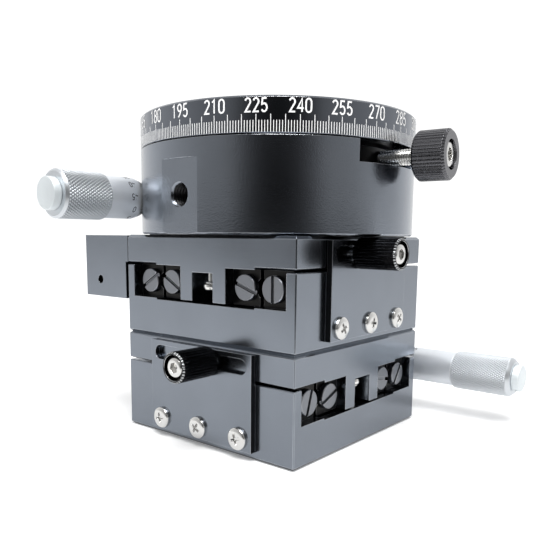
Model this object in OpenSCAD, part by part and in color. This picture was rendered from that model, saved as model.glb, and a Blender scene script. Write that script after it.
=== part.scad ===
// XY rotation stage for a lab bench, in millimetres.
// Two crossed roller linear stages stand crosswise, with a round rotation stage on top.
// Z is up and the origin is the middle of the bottom face. The lower stage travels along X.
// Every linear stage is drawn once, in its own frame with its travel along X, and placed twice.

/* [Linear stages] */
// Width and length of each linear stage
stage_w = 60; // [57:0.5:72]
// Height of each linear stage
stage_h = 27.4; // [27:0.1:32]
// Thickness of the base slab under the outer rails, as a share of the stage's height
slab_share = 0.37591;
// Width of each V rail as a share of the stage's width
rail_w_share = 0.15;
// Height of each V rail as a share of the stage's height
rail_h_share = 0.33212;
// Space between an inner and an outer rail
rail_gap = 1.1; // [1:0.05:1.3]
// How far the rails end short of the stage's ends
rail_inset = 2.9; // [2.4:0.1:3.4]
// Thickness of the side walls of each base
wall_t = 2.8; // [2.2:0.1:3.6]
// Gap between the side walls and the table above them
table_gap = 0.65; // [0.4:0.05:0.9]
// Step between a rail's seat and the face beside it
seat_step = 0.4; // [0.2:0.1:0.6]
// Height of the slot in the boss of each table, as a share of the boss
slot_h_share = 0.83616;
// Half width of that slot as a share of the boss
slot_share = 0.463;
// Chamfer along the long outer edges
edge_chamfer = 0.7; // [0.4:0.1:1]
// Chamfer along the fine edges
fine_chamfer = 0.25; // [0.1:0.05:0.4]
// Travel of each table to either side
travel = 6.5; // [5:0.5:7]

/* [Rollers] */
// Diameter of every crossed roller
roller_d = 4; // [3.8:0.1:4.2]
// Gap between the ends of a roller and its groove
roller_end_gap = 0.2; // [0.15:0.05:0.3]
// Rollers in each straight cage
cage_rollers = 8; // [6:1:8]
// Distance between two rollers of a straight cage
cage_pitch = 5.1; // [5:0.1:5.6]
// Height of a cage strip
cage_h = 8; // [7.6:0.1:8.4]
// Thickness of a cage strip
cage_t = 0.5; // [0.4:0.05:0.6]
// Rollers in the ring bearing
ring_rollers = 18; // [14:1:18]

/* [Fits] */
// Clearance on the radius of shafts and of screws in their holes
fit = 0.05; // [0.02:0.01:0.08]
// Gap between pieces that push each other
push_gap = 0.1; // [0.05:0.01:0.2]
// Room on the radius around a sunk screw head
head_room = 0.3; // [0.2:0.05:0.4]
// Overrun of every cut past the face that it opens
overrun = 0.5; // [0.2:0.1:1]
// Core of a threaded hole as a share of its nominal diameter
tap_share = 0.83;

/* [Screws] */
// Nominal diameter of the small screws
m3 = 3; // [2.5:0.1:3.2]
// Head diameter of the small socket screws
m3_head_d = 5.5; // [5:0.1:5.7]
// Head height of the small socket screws
m3_head_h = 3; // [2.5:0.1:3.2]
// Nominal diameter of the large screws
m4 = 4; // [3.5:0.1:4.3]
// Head diameter of the large socket screws
m4_head_d = 7; // [6.5:0.1:7.4]
// Head height of the large socket screws
m4_head_h = 4; // [3.5:0.1:4.2]
// Shank length of the socket screws
screw_l = 10; // [9.5:0.1:10.5]
// Key width of a hexagon socket as a share of the nominal diameter
socket_share = 0.8;
// Distance of the rail bolts from the ends of a rail
rail_bolt_end = 7.1; // [6.8:0.1:8]
// Height of the rail bolts' seats in the base
rail_bolt_seat = 5; // [4:0.1:5.5]
// Head diameter of the stop screws in the rails' ends
stop_head_d = 6.6; // [6:0.1:7]
// Head height of the stop screws
stop_head_h = 1.5; // [1.2:0.1:1.8]
// Shank diameter of the stop screws
stop_shank_d = 2.4; // [2:0.1:2.5]
// Shank length of the stop screws
stop_shank_l = 4; // [3:0.1:4.4]
// Distance of the stop screws from the middle of the roller channel
stop_offset = 4.4; // [4.2:0.05:4.6]
// Width of the slot in a stop screw
stop_slot = 1; // [0.8:0.05:1.2]
// Depth of that slot, and width of the slots in a cross recess
driver_slot = 0.9; // [0.7:0.1:1]
// Head diameter of the cross-recessed pan head screws
pan_head_d = 5.7; // [5.2:0.1:6]
// Head height of the pan head screws
pan_head_h = 1.2; // [1:0.1:1.4]
// Shank length of the pan head screws
pan_shank_l = 6; // [5:0.5:7]

/* [Stacking pattern] */
// Spacing of the four screws that fix a base to what is under it
stack_pitch = 25; // [24:0.5:26]
// Height of those screws' seats as a share of the base slab
stack_seat_share = 0.47573;

/* [Clamp plates] */
// Length of a clamp plate
plate_l = 36.4; // [34:0.2:40]
// Thickness of a clamp plate
plate_t = 1.7; // [1.4:0.1:2.2]
// Height of a clamp plate's bottom edge
plate_z0 = 2.1; // [1.5:0.1:2.5]
// How far a clamp plate's top edge lies under the top of its stage
plate_drop = 0.9; // [0.6:0.1:1.2]
// Gap between a clamp plate and the side of the moving table
plate_relief = 0.2; // [0.15:0.05:0.3]
// Plate left at each end of the slot in a clamp plate
plate_end = 1.6; // [1.4:0.1:2.4]
// Height of the slot in a clamp plate
plate_slot_h = 3.9; // [3.6:0.1:4.4]
// Height of the clamp screw and its slot as a share of the table, from its underside up
clamp_share = 0.46053;
// Distance of the outer plate screws from the plate's ends
plate_screw_end = 4.2; // [4:0.1:5]
// Height of the three plate screws
plate_screw_z = 5.2; // [5:0.1:5.6]
// Place of the lower stage's clamp knob along its plate
clamp_x_lower = 3.8; // [0:0.1:6]
// Place of the upper stage's clamp knob along its plate
clamp_x_upper = -6.3; // [-7:0.1:0]
// Diameter of a stage's clamp knob
clamp_knob_d = 7.8; // [7.4:0.1:8]
// Length of a stage's clamp knob
clamp_knob_l = 11.7; // [11:0.1:13]
// Serrations around a stage's clamp knob
clamp_knob_teeth = 28; // [24:1:32]
// Depth of the serrations of every clamp knob
tooth_depth = 0.3; // [0.2:0.05:0.4]
// Head diameter of the screw in a stage's clamp knob
clamp_head_d = 5.1; // [4.8:0.1:5.3]

/* [Anvil and bracket] */
// Length along the travel of the anvil block and the bracket
block_l = 14; // [13.5:0.1:14.5]
// How far the blocks reach out from the side of a stage
block_reach = 20.1; // [19:0.1:22]
// Spacing of the two screws in each block
block_screw_pitch = 6.7; // [6.5:0.1:6.8]
// Depth of block under the heads of those screws
block_web = 6; // [5.5:0.1:6.5]
// Bottom of the anvil block above the stage's bottom
anvil_z0 = 9.2; // [8:0.1:10]
// How far the anvil block's top lies under the top of its stage
anvil_drop = 0.2; // [0.1:0.05:0.4]
// Gap between the anvil block and the side of the base
anvil_relief = 1; // [0.6:0.1:1.4]
// Height of the round contact pad on the anvil block
pad_h = 1; // [0.6:0.1:1.4]
// Start of the bracket along the travel
bracket_x0 = -3; // [-3.5:0.1:-2.5]
// Bottom of the bracket above the stage's bottom
bracket_z0 = 1; // [0.8:0.1:1.5]
// Thickness of the bracket over the micrometer's sleeve
bracket_roof = 0.8; // [0.6:0.1:1]
// Height of the bracket screws as a share of the base slab
bracket_screw_share = 0.56311;

/* [Stage micrometers] */
// Distance of a stage micrometer's axis from the side of the stage
mic_reach = 13.1; // [12.6:0.1:13.6]
// How far that axis lies under the middle of the rails
mic_drop = 0.65; // [0.4:0.05:0.9]
// Start of the thimble's bevel at mid travel
mic_bevel_x = 20; // [19.5:0.1:21]
// Diameter of every spindle
spindle_d = 4; // [3.6:0.1:4.2]
// Diameter of a stage micrometer's sleeve
mic_sleeve_d = 8; // [7.8:0.1:8.2]
// Diameter of the thimble at its bevelled edge
mic_bevel_d = 8.8; // [8.7:0.1:9.2]
// Diameter of the smooth part of the thimble
mic_body_d = 10.4; // [10:0.1:11]
// Diameter of the knurled part of the thimble
mic_knurl_d = 11.6; // [11.2:0.1:12]
// Diameter of the end cap
mic_cap_d = 7.8; // [7.2:0.1:8.2]
// Length of the thimble's bevel
mic_bevel_l = 3.5; // [3:0.1:4]
// Length of the smooth part
mic_smooth_l = 14.6; // [14:0.1:15.5]
// Length of the knurled part
mic_knurl_l = 16.5; // [15.5:0.1:17.5]
// Length of the chamfered ring behind the knurl
mic_ring_l = 1.3; // [1:0.1:1.5]
// Length of the end cap
mic_cap_l = 2.1; // [1.8:0.1:2.4]
// Length of the sleeve that stands in the thimble at mid travel
mic_overlap = 16; // [15:0.1:17]

/* [Return springs] */
// Distance of each spring pin from its end of the stage
pin_inset = 3.5; // [3.2:0.1:4.5]
// Diameter of a spring pin in its hole
pin_d = 2.6; // [2.4:0.1:3]
// Diameter of a spring pin's stem
pin_neck_d = 2; // [1.8:0.1:2.2]
// Diameter of a spring pin's head
pin_head_d = 4.4; // [4:0.1:4.6]
// Height of a spring pin's head
pin_head_h = 1.3; // [1:0.1:1.5]
// How deep a spring pin sits in its hole
pin_seat_l = 4; // [3.5:0.1:4.5]
// Height of the spring as a share of the slot
spring_share = 0.64;
// Outer diameter of a return spring
spring_d = 4.6; // [4.2:0.1:5]
// Wire diameter of a return spring
wire_d = 0.7; // [0.6:0.05:0.75]
// Curls of a return spring
spring_curls = 22; // [16:1:22]
// Distance from a pin to the first curl
hook_l = 4.6; // [4.2:0.1:5]

/* [Rotation stage] */
// Diameter of the rotation stage
round_d = 76; // [76:0.5:80]
// Height of the shadow gap above the upper linear stage
foot_h = 0.2; // [0.15:0.05:0.4]
// How far the foot is set in from the body's wall
foot_inset = 2; // [1:0.1:3]
// Height of the body
body_h = 22.3; // [22:0.1:24]
// Gap between the body and the dial
dial_gap = 0.3; // [0.2:0.05:0.4]
// Height of the dial
dial_h = 8.2; // [8:0.1:9]
// Thickness of the body's wall around the clamp ring
round_wall = 4; // [3.5:0.1:4.5]
// Height of the space for the clamp ring
ring_room = 6; // [5.8:0.1:6.2]
// Chamfer at the body's bottom and the dial's top
round_chamfer = 0.4; // [0.3:0.1:0.6]
// Diameter of the hub inside the ring bearing
hub_d = 30; // [29:0.1:31]
// Diameter of the hub inside the clamp ring
neck_d = 34; // [33:0.1:35]
// Outer diameter of the bearing's race ring
race_d = 45; // [44:0.1:46]
// Height of the race ring
race_h = 10.5; // [10:0.1:10.8]
// Distance from the space for the clamp ring down to the race ring
race_drop = 0.8; // [0.5:0.1:1]
// Diameter of the bore through the dial
dial_bore_d = 10; // [8:0.1:12]
// Spacing of the four threaded holes in the dial
dial_pitch = 32; // [30:0.5:34]
// Depth of the threaded holes in the dial
dial_hole_l = 7; // [6:0.1:7.5]
// Distance of the milled flat from the axis
flat_y = 37.5; // [37.2:0.1:37.6]
// Height of the milled flat above the body's bottom
flat_h = 18; // [17:0.1:19]
// Nominal diameter of the threaded side hole
side_hole_d = 6; // [5:0.1:6.2]
// Height of that hole above the body's bottom
side_hole_z = 9.4; // [9:0.1:10]
// Depth of that hole
side_hole_l = 9; // [8:0.1:10]
// Place along X of the screws that hold the body down
mount_x = 16; // [15.5:0.1:16.5]
// Distance of those screws from the edge of the upper stage
mount_inset = 4; // [3.7:0.1:4.5]
// Height of those screws' seats above the body's bottom
mount_seat = 4; // [3.8:0.1:4.2]

/* [Clamp ring] */
// Thickness of the clamp ring
ring_t = 5.4; // [5.2:0.1:5.5]
// Outer diameter of the clamp ring
ring_d = 64; // [63:0.1:65]
// Diameter of the arm that hangs from the ring
arm_d = 6; // [5.5:0.1:6.3]
// Height of the arm's lower end above the body's bottom
arm_z0 = 5.5; // [5:0.1:6]
// Room on each side of the arm
arm_room = 3.2; // [3.1:0.1:3.4]
// Direction of the clamp screw
clamp_angle = 5; // [0:1:10]
// Half angle of the window in the wall
window_angle = 26; // [20:1:28]
// Height of the window's lower edge above the body's bottom
window_z = 17.1; // [16.9:0.1:17.4]
// Distance from the body's wall to the round clamp knob
round_knob_gap = 4; // [3.8:0.1:4.5]
// Diameter of the round clamp knob
round_knob_d = 12.2; // [11.8:0.1:12.6]
// Length of the round clamp knob
round_knob_l = 8.2; // [8:0.1:9]
// Serrations of the round clamp knob
round_knob_teeth = 44; // [40:1:48]
// Head diameter of the screw in that knob
round_head_d = 6.2; // [6:0.1:6.5]

/* [Rotation micrometer] */
// Distance of its axis from the rotation axis
fine_x = 27.5; // [27.2:0.1:27.8]
// Height of its axis above the body's bottom
fine_z = 9.7; // [9.4:0.1:9.8]
// Distance of the thimble's bevelled edge from the rotation axis
fine_bevel_y = 28.8; // [28.7:0.05:29.5]
// Floor of the pocket that the thimble runs into
pocket_y = 26; // [25.5:0.1:26.5]
// Diameter of that pocket
pocket_d = 12.6; // [12.4:0.1:13]
// Diameter of the sleeve
fine_sleeve_d = 8.4; // [8.2:0.1:8.6]
// Distance of the sleeve's inner end from the rotation axis
fine_sleeve_y = 8; // [7:0.1:9]
// Diameter of the thimble at its bevelled edge
fine_bevel_d = 9.8; // [9.6:0.1:10.2]
// Diameter of the smooth part
fine_body_d = 11.2; // [11:0.1:11.6]
// Diameter of the knurled part
fine_knurl_d = 12.4; // [12:0.1:12.6]
// Diameter of the end cap
fine_cap_d = 8.3; // [8:0.1:8.8]
// Length of the bevel
fine_bevel_l = 2.4; // [2:0.05:2.8]
// Length of the smooth part
fine_smooth_l = 9.5; // [9:0.1:10]
// Length of the knurled part
fine_knurl_l = 12.8; // [12:0.1:13.5]
// Length of the chamfered ring behind the knurl
fine_ring_l = 0.8; // [0.6:0.1:1]
// Length of the end cap
fine_cap_l = 2.2; // [1.9:0.1:2.4]
// Length of the sleeve that stands in the thimble at mid travel
fine_overlap = 11; // [10.5:0.1:11.5]
// Travel of the rotation micrometer to either side
fine_travel = 2.4; // [2:0.1:2.6]

/* [Spring plunger] */
// Diameter of the plunger's housing
plunger_d = 8; // [7.6:0.1:8.4]
// Outer end of the housing from the rotation axis
plunger_y1 = 25.8; // [25:0.1:26]
// Thickness of the housing's nose and back
plunger_end = 1.5; // [1.2:0.1:1.8]
// Diameter of the space inside the housing
plunger_bore_d = 5.6; // [5.2:0.1:6]
// Diameter of the pin's stem
plunger_stem_d = 3; // [2.6:0.1:3.4]
// Thickness of the pin's collar
plunger_collar_t = 1.4; // [1:0.1:1.8]

/* [Hidden] */
$fn = 48;
root_half = sqrt(0.5);

// Levels of a linear stage
slab_t = stage_h * slab_share;
rail_h = stage_h * rail_h_share;
floor_z = slab_t - seat_step;
seat_z = slab_t + rail_h;
under_z = seat_z + seat_step;
wall_z = under_z - table_gap;
boss_z = floor_z + table_gap;
groove_z = slab_t + rail_h / 2;
slot_z = boss_z + (seat_z - boss_z) * slot_h_share;
stack_seat = slab_t * stack_seat_share;

// Distances from the middle of a linear stage
half_w = stage_w / 2;
rail_w = stage_w * rail_w_share;
rails_out_y = half_w - wall_t;
channel_y = rails_out_y - rail_w - rail_gap / 2;
boss_y = channel_y - rail_gap / 2 - rail_w;
inner_rail_y = boss_y + rail_w / 2;
outer_rail_y = rails_out_y - rail_w / 2;
slot_y = boss_y * slot_share;
rail_end_x = half_w - rail_inset;
rail_bolt_x = rail_end_x - rail_bolt_end;
groove_depth = (roller_d / 2 + fit) / root_half - rail_gap / 2;

// Rollers and cages
roller_r = roller_d / 2;
roller_l = roller_d - 2 * roller_end_gap;
cage_l = cage_rollers * cage_pitch;
window_l = roller_d + 2 * roller_end_gap;
window_h = roller_d / root_half + roller_end_gap;

// Screws
m3_head = [m3, m3_head_d, m3_head_h];
m4_head = [m4, m4_head_d, m4_head_h];
table_seat = stage_h - m3_head_h - seat_step;
block_seat_y = half_w + block_web;
screw_tip_gap = 2 * seat_step;
stop_angles_lower = [73, 22, -10, 55];
stop_angles_upper = [31, -30, -19, 90];
plate_angles_lower = [10, 35, -20];
plate_angles_upper = [25, -10, 40];

// Clamp plate
plate_z1 = stage_h - plate_drop;
plate_slot_l = plate_l - 2 * plate_end;
plate_screw_pitch = plate_l / 2 - plate_screw_end;
clamp_z = under_z + (stage_h - under_z) * clamp_share;

// Anvil, bracket and micrometer of a linear stage
mic_y = half_w + mic_reach;
mic_z = groove_z - mic_drop;
anvil_x0 = -half_w;
anvil_z1 = stage_h - anvil_drop;
anvil_mid_x = anvil_x0 + block_l / 2;
anvil_screw_z = (under_z + stage_h) / 2;
bracket_z1 = mic_z + mic_sleeve_d / 2 + bracket_roof;
bracket_mid_x = bracket_x0 + block_l / 2;
bracket_screw_z = slab_t * bracket_screw_share;
spindle_tip_x = anvil_x0 + block_l + pad_h + push_gap;
mic_sleeve_end_x = mic_bevel_x + mic_overlap;
mic_bore_l = mic_overlap + travel + fit * 10;
mic_thimble_l = mic_bevel_l + mic_smooth_l + mic_knurl_l + mic_ring_l;
spindle_grip = mic_thimble_l * 0.16;
mic_sizes = [mic_bevel_d, mic_body_d, mic_knurl_d];
mic_lengths = [mic_bevel_l, mic_smooth_l, mic_knurl_l, mic_ring_l];

// Return spring
wire_r = wire_d / 2;
curl_r = spring_d / 2 - wire_r;
hook_r = pin_neck_d / 2 + wire_r + push_gap;
spring_z = boss_z + (slot_z - boss_z) * spring_share;
pin_x = half_w - pin_inset;
spring_span = 2 * (pin_x - hook_l);

// Levels of the rotation stage
foot_z = 2 * stage_h;
round_z = foot_z + foot_h;
round_top = round_z + body_h;
dial_z = round_top + dial_gap;
dial_top = dial_z + dial_h;
ring_floor = round_top - ring_room;
mount_y = half_w - mount_inset;
ring_z = ring_floor + dial_gap;
race_top = ring_floor - race_drop;
race_z = race_top - race_h;
race_mid = race_z + race_h / 2;
hub_z = race_z - dial_gap;
round_r = round_d / 2;
hub_r = hub_d / 2;
neck_r = neck_d / 2;
race_in_r = hub_r + rail_gap;
pitch_r = hub_r + rail_gap / 2;
cavity_r = round_r - round_wall;
round_knob_r = round_r + round_knob_gap;
arm_low = round_z + arm_z0;
clamp_screw_z = ring_z + ring_t / 2 + seat_step / 2;
round_screw_r0 = neck_r + arm_room / 4;
round_seat_r = round_knob_r + round_knob_l - round_chamfer - m3_head_h;

// Rotation micrometer and plunger
fine_axis_z = round_z + fine_z;
slot_half_y = arm_d / 2 + arm_room;
fine_tip_y = arm_d / 2 + push_gap;
fine_sleeve_end_y = fine_bevel_y + fine_overlap;
fine_bore_l = fine_overlap + fine_travel + fit * 10;
fine_thimble_l = fine_bevel_l + fine_smooth_l + fine_knurl_l + fine_ring_l;
fine_grip = fine_thimble_l * 0.25;
fine_sizes = [fine_bevel_d, fine_body_d, fine_knurl_d];
fine_lengths = [fine_bevel_l, fine_smooth_l, fine_knurl_l, fine_ring_l];
plunger_y0 = slot_half_y + fit * 10;
plunger_room_y = plunger_y0 + plunger_end;
collar_y = plunger_room_y + fine_travel + push_gap;
plunger_spring_y = collar_y + plunger_collar_t;

black = [0.16, 0.16, 0.17];
steel = [0.62, 0.62, 0.6];
bright = [0.82, 0.82, 0.8];
dark_steel = [0.4, 0.38, 0.36];

// Helpers

// Box between two opposite corners
module span_box(low, high) {
    translate(low) cube(high - low);
}

// Puts the drawing of a linear stage in the place of the upper stage
module on_upper() {
    translate([0, 0, stage_h]) rotate(90) children();
}

// Square slab with chamfered edges, from z0 to z1
module chamfered_slab(z0, z1, c_low, c_high) {
    side = [
        [-half_w + c_low, z0], [half_w - c_low, z0], [half_w, z0 + c_low], [half_w, z1 - c_high],
        [half_w - c_high, z1], [-half_w + c_high, z1], [-half_w, z1 - c_high], [-half_w, z0 + c_low]
    ];
    intersection() {
        rotate([90, 0, 0]) linear_extrude(2 * stage_w, center = true) polygon(side);
        rotate([90, 0, 90]) linear_extrude(2 * stage_w, center = true) polygon(side);
        translate([0, 0, z0 - overrun]) linear_extrude(z1 - z0 + 2 * overrun) corner_square();
    }
}

// Outline of a stage from above, with small corner chamfers
module corner_square() {
    c = fine_chamfer;
    h = half_w;
    polygon([
        [-h + c, -h], [h - c, -h], [h, -h + c], [h, h - c],
        [h - c, h], [-h + c, h], [-h, h - c], [-h, -h + c]
    ]);
}

// Socket head screw with its seat at the origin, head up and shank down
module cap_screw(size, l) {
    difference() {
        union() {
            cylinder(h = size[2], d = size[1]);
            translate([0, 0, -l]) cylinder(h = l + size[2] / 2, d = size[0]);
        }
        hex_socket(size[0] * socket_share, size[2] / 2, size[2]);
    }
}

// Hexagon socket of the given key width, cut down from the height top
module hex_socket(key, depth, top) {
    translate([0, 0, top - depth]) cylinder(h = depth + overrun, d = key / cos(30), $fn = 6);
}

// Room for a socket head screw: a counterbore of height up and a hole of depth down
module cap_room(size, down, up) {
    cylinder(h = up + overrun, r = size[1] / 2 + head_room);
    translate([0, 0, -down]) cylinder(h = down + overrun, r = size[0] / 2 + fit);
}

// Children at the four corners of a rectangle
module four_corners(x, y) {
    for (sx = [-1, 1]) {
        for (sy = [-1, 1]) {
            translate([sx * x, sy * y, 0]) children();
        }
    }
}

// Round bar with straight serrations between two plain rims, from z = 0 up
module serrated_bar(d, l, teeth) {
    r = d / 2;
    rim = 2 * tooth_depth;
    step = 180 / teeth;
    ring = [for (i = [0 : 2 * teeth - 1]) (r - (i % 2) * tooth_depth) * [cos(i * step), sin(i * step)]];
    translate([0, 0, rim]) linear_extrude(l - 2 * rim) polygon(ring);
    cylinder(h = l, r = r - rim);
}

// Linear stage, fixed half

module stage_base() {
    difference() {
        chamfered_slab(0, wall_z, edge_chamfer, fine_chamfer);
        span_box([-stage_w, -rails_out_y, slab_t], [stage_w, rails_out_y, stage_h]);
        span_box([-stage_w, -channel_y, floor_z], [stage_w, channel_y, stage_h]);
        base_rail_bolts() rotate([180, 0, 0]) cap_room(m3_head, slab_t, rail_bolt_seat);
        four_corners(stack_pitch / 2, stack_pitch / 2) {
            translate([0, 0, stack_seat]) cap_room(m4_head, slab_t, slab_t);
        }
        plate_screw_places() cylinder(h = pan_shank_l + screw_tip_gap, r = m3 / 2 + fit);
        bracket_screw_places() cap_room(m3_head, screw_l + screw_tip_gap, block_reach);
        translate([pin_x, 0, floor_z - pin_seat_l]) cylinder(h = pin_seat_l + overrun, r = pin_d / 2 + fit);
    }
}

module base_rail_bolts() {
    for (side = [-1, 1]) {
        for (x = [-rail_bolt_x, rail_bolt_x]) {
            translate([x, side * outer_rail_y, rail_bolt_seat]) children();
        }
    }
}

module plate_screw_places() {
    for (i = [-1 : 1]) {
        translate([i * plate_screw_pitch, -half_w, plate_screw_z]) rotate([-90, 0, 0]) children();
    }
}

// The bracket screws' seats, with the shanks pointing into the base
module bracket_screw_places() {
    for (side = [-1, 1]) {
        translate([bracket_mid_x + side * block_screw_pitch / 2, block_seat_y, bracket_screw_z]) {
            rotate([-90, 0, 0]) children();
        }
    }
}

// Outline across a V rail whose groove faces +Y, with its middle at the origin
module rail_outline() {
    w = rail_w / 2;
    h = rail_h / 2;
    c = fine_chamfer;
    g = groove_depth;
    polygon([
        [-w + c, -h], [w - c, -h], [w, -h + c], [w, -g], [w - g, 0], [w, g], [w, h - c],
        [w - c, h], [-w + c, h], [-w, h - c], [-w, -h + c]
    ]);
}

// A V rail along X, with holes for its bolts and for its stop screws
module v_rail(y, groove_side) {
    difference() {
        translate([0, y, groove_z]) rotate([90, 0, 90]) {
            linear_extrude(2 * rail_end_x, center = true) scale([groove_side, 1]) rail_outline();
        }
        for (x = [-rail_bolt_x, rail_bolt_x]) {
            translate([x, y, slab_t - overrun]) cylinder(h = rail_h + 2 * overrun, r = m3 / 2 + fit);
        }
        for (end = [-1, 1]) {
            translate([end * rail_end_x, y < 0 ? -stop_y(y) : stop_y(y), groove_z]) rotate([0, -90 * end, 0]) {
                translate([0, 0, -overrun]) {
                    cylinder(h = stop_shank_l + screw_tip_gap + overrun, r = stop_shank_d / 2 + fit);
                }
            }
        }
    }
}

// Distance of the stop screw from the stage's middle, for the rail at y
function stop_y(y) = abs(y) < channel_y ? channel_y - stop_offset : channel_y + stop_offset;

module outer_rails() {
    v_rail(outer_rail_y, -1);
    v_rail(-outer_rail_y, 1);
}

module inner_rails() {
    v_rail(inner_rail_y, 1);
    v_rail(-inner_rail_y, -1);
}

// Slotted screws in both ends of the two rails at distance y, with the slots at the given angles from level
module stop_screws(y, angle_neg, angle_pos) {
    for (end = [-1, 1]) {
        for (side = [-1, 1]) {
            translate([end * rail_end_x, side * y, groove_z]) rotate([0, 90 * end, 0]) {
                stop_screw(side < 0 ? angle_neg : angle_pos);
            }
        }
    }
}

module stop_screw(angle) {
    difference() {
        union() {
            cylinder(h = stop_head_h, d = stop_head_d);
            translate([0, 0, -stop_shank_l]) cylinder(h = stop_shank_l + stop_head_h / 2, d = stop_shank_d);
        }
        rotate(angle) {
            translate([-stop_slot / 2, -stop_head_d, stop_head_h - driver_slot]) {
                cube([stop_slot, 2 * stop_head_d, driver_slot + overrun]);
            }
        }
    }
}

module clamp_plate() {
    difference() {
        span_box([-plate_l / 2, -half_w - plate_t, plate_z0], [plate_l / 2, -half_w, plate_z1]);
        span_box(
            [-plate_l, -half_w - plate_relief, wall_z - fine_chamfer],
            [plate_l, -half_w + overrun, stage_h]
        );
        plate_slot();
        plate_screw_places() {
            translate([0, 0, -plate_t - overrun]) cylinder(h = plate_t + 2 * overrun, r = m3 / 2 + fit);
        }
    }
}

module plate_slot() {
    reach = (plate_slot_l - plate_slot_h) / 2;
    translate([0, -half_w + overrun, clamp_z]) rotate([90, 0, 0]) {
        for (side = [-1, 1]) {
            translate([side * reach, 0, 0]) cylinder(h = plate_t + 2 * overrun, d = plate_slot_h);
        }
        translate([-reach, -plate_slot_h / 2, 0]) cube([2 * reach, plate_slot_h, plate_t + 2 * overrun]);
    }
}

module clamp_plate_screws(angles) {
    for (i = [-1 : 1]) {
        translate([i * plate_screw_pitch, -half_w - plate_t, plate_screw_z]) rotate([90, 0, 0]) {
            pan_screw(angles[i + 1]);
        }
    }
}

module pan_screw(angle) {
    r = pan_head_d / 2;
    h = pan_head_h;
    difference() {
        union() {
            rotate_extrude() {
                polygon([[0, 0], [r, 0], [r, h * 0.45], [r * 0.86, h * 0.8], [r * 0.6, h], [0, h]]);
            }
            translate([0, 0, -pan_shank_l]) cylinder(h = pan_shank_l + h / 2, d = m3);
        }
        for (turn = [0, 90]) {
            rotate(angle + turn) {
                translate([-r * 0.55, -driver_slot / 2, h / 2]) cube([r * 1.1, driver_slot, h]);
            }
        }
    }
}

module bracket() {
    difference() {
        span_box([bracket_x0, half_w, bracket_z0], [bracket_x0 + block_l, half_w + block_reach, bracket_z1]);
        mic_place(bracket_x0 - overrun) cylinder(h = block_l + 2 * overrun, r = mic_sleeve_d / 2 + fit);
        bracket_screw_places() cap_room(m3_head, block_web + overrun, block_reach);
    }
}

// Puts children on a stage micrometer's axis at x, with their z axis along +X
module mic_place(x) {
    translate([x, mic_y, mic_z]) rotate([0, 90, 0]) children();
}

// Tube from z = 0 to l
module tube(l, r_out, r_in) {
    difference() {
        cylinder(h = l, r = r_out);
        translate([0, 0, -overrun]) cylinder(h = l + 2 * overrun, r = r_in);
    }
}

module stage_sleeve() {
    mic_place(bracket_x0) tube(mic_sleeve_end_x - bracket_x0, mic_sleeve_d / 2, spindle_d / 2 + fit);
}

// Linear stage, moving half

// top_screws lists the places of the threaded holes in the top face, which are depth deep
module stage_table(clamp_x, top_screws, depth) {
    difference() {
        union() {
            chamfered_slab(under_z, stage_h, fine_chamfer, edge_chamfer);
            span_box([-half_w, -channel_y, seat_z], [half_w, channel_y, under_z + edge_chamfer]);
            span_box([-half_w, -boss_y, boss_z], [half_w, boss_y, seat_z + edge_chamfer]);
        }
        span_box([-stage_w, -slot_y, -overrun], [stage_w, slot_y, slot_z]);
        table_rail_bolts() cap_room(m3_head, stage_h, stage_h);
        for (place = top_screws) {
            translate([place[0], place[1], stage_h - depth]) cylinder(h = stage_h, r = m4 / 2 + fit);
        }
        anvil_screw_places() cap_room(m3_head, screw_l + screw_tip_gap, block_reach);
        translate([clamp_x, -half_w - overrun, clamp_z]) rotate([-90, 0, 0]) {
            cylinder(h = m3 * 2.4 + overrun, r = m3 / 2 + fit);
        }
        translate([-pin_x, 0, slot_z - overrun]) cylinder(h = pin_seat_l + overrun, r = pin_d / 2 + fit);
    }
}

module table_rail_bolts() {
    for (side = [-1, 1]) {
        for (x = [-rail_bolt_x, rail_bolt_x]) {
            translate([x, side * inner_rail_y, table_seat]) children();
        }
    }
}

// The anvil screws' seats, with the shanks pointing into the table
module anvil_screw_places() {
    for (side = [-1, 1]) {
        translate([anvil_mid_x + side * block_screw_pitch / 2, block_seat_y, anvil_screw_z]) {
            rotate([-90, 0, 0]) children();
        }
    }
}

module anvil_block() {
    difference() {
        union() {
            span_box([anvil_x0, half_w, anvil_z0], [anvil_x0 + block_l, half_w + block_reach, anvil_z1]);
            mic_place(anvil_x0 + block_l - overrun) cylinder(h = pad_h + overrun, d = spindle_d);
        }
        span_box(
            [anvil_x0 - overrun, half_w - overrun, anvil_z0 - overrun],
            [anvil_x0 + block_l + overrun, half_w + anvil_relief, under_z]
        );
        mic_place(anvil_x0 - overrun) cylinder(h = block_l / 2 + overrun, d = m3 * tap_share);
        anvil_screw_places() cap_room(m3_head, block_web + overrun, block_reach);
    }
}

// Cage strips and rollers, which follow the table at half its speed
module roller_cages() {
    for (side = [-1, 1]) {
        difference() {
            translate([-cage_l / 2, side * channel_y - cage_t / 2, groove_z - cage_h / 2]) {
                cube([cage_l, cage_t, cage_h]);
            }
            roller_places(side) cube([window_l, window_l, window_h], center = true);
        }
    }
}

module roller_places(side) {
    for (i = [0 : cage_rollers - 1]) {
        translate([(i + 0.5) * cage_pitch - cage_l / 2, side * channel_y, groove_z]) children();
    }
}

module rollers() {
    for (side = [-1, 1]) {
        for (i = [0 : cage_rollers - 1]) {
            translate([(i + 0.5) * cage_pitch - cage_l / 2, side * channel_y, groove_z]) {
                rotate([45 + 90 * (i % 2), 0, 0]) cylinder(h = roller_l, r = roller_r, center = true);
            }
        }
    }
}

// Clamp knob of a linear stage, with its z axis pointing out of the plate
module clamp_place(x) {
    translate([x, -half_w - plate_t - plate_relief, clamp_z]) rotate([90, 0, 0]) children();
}

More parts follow.
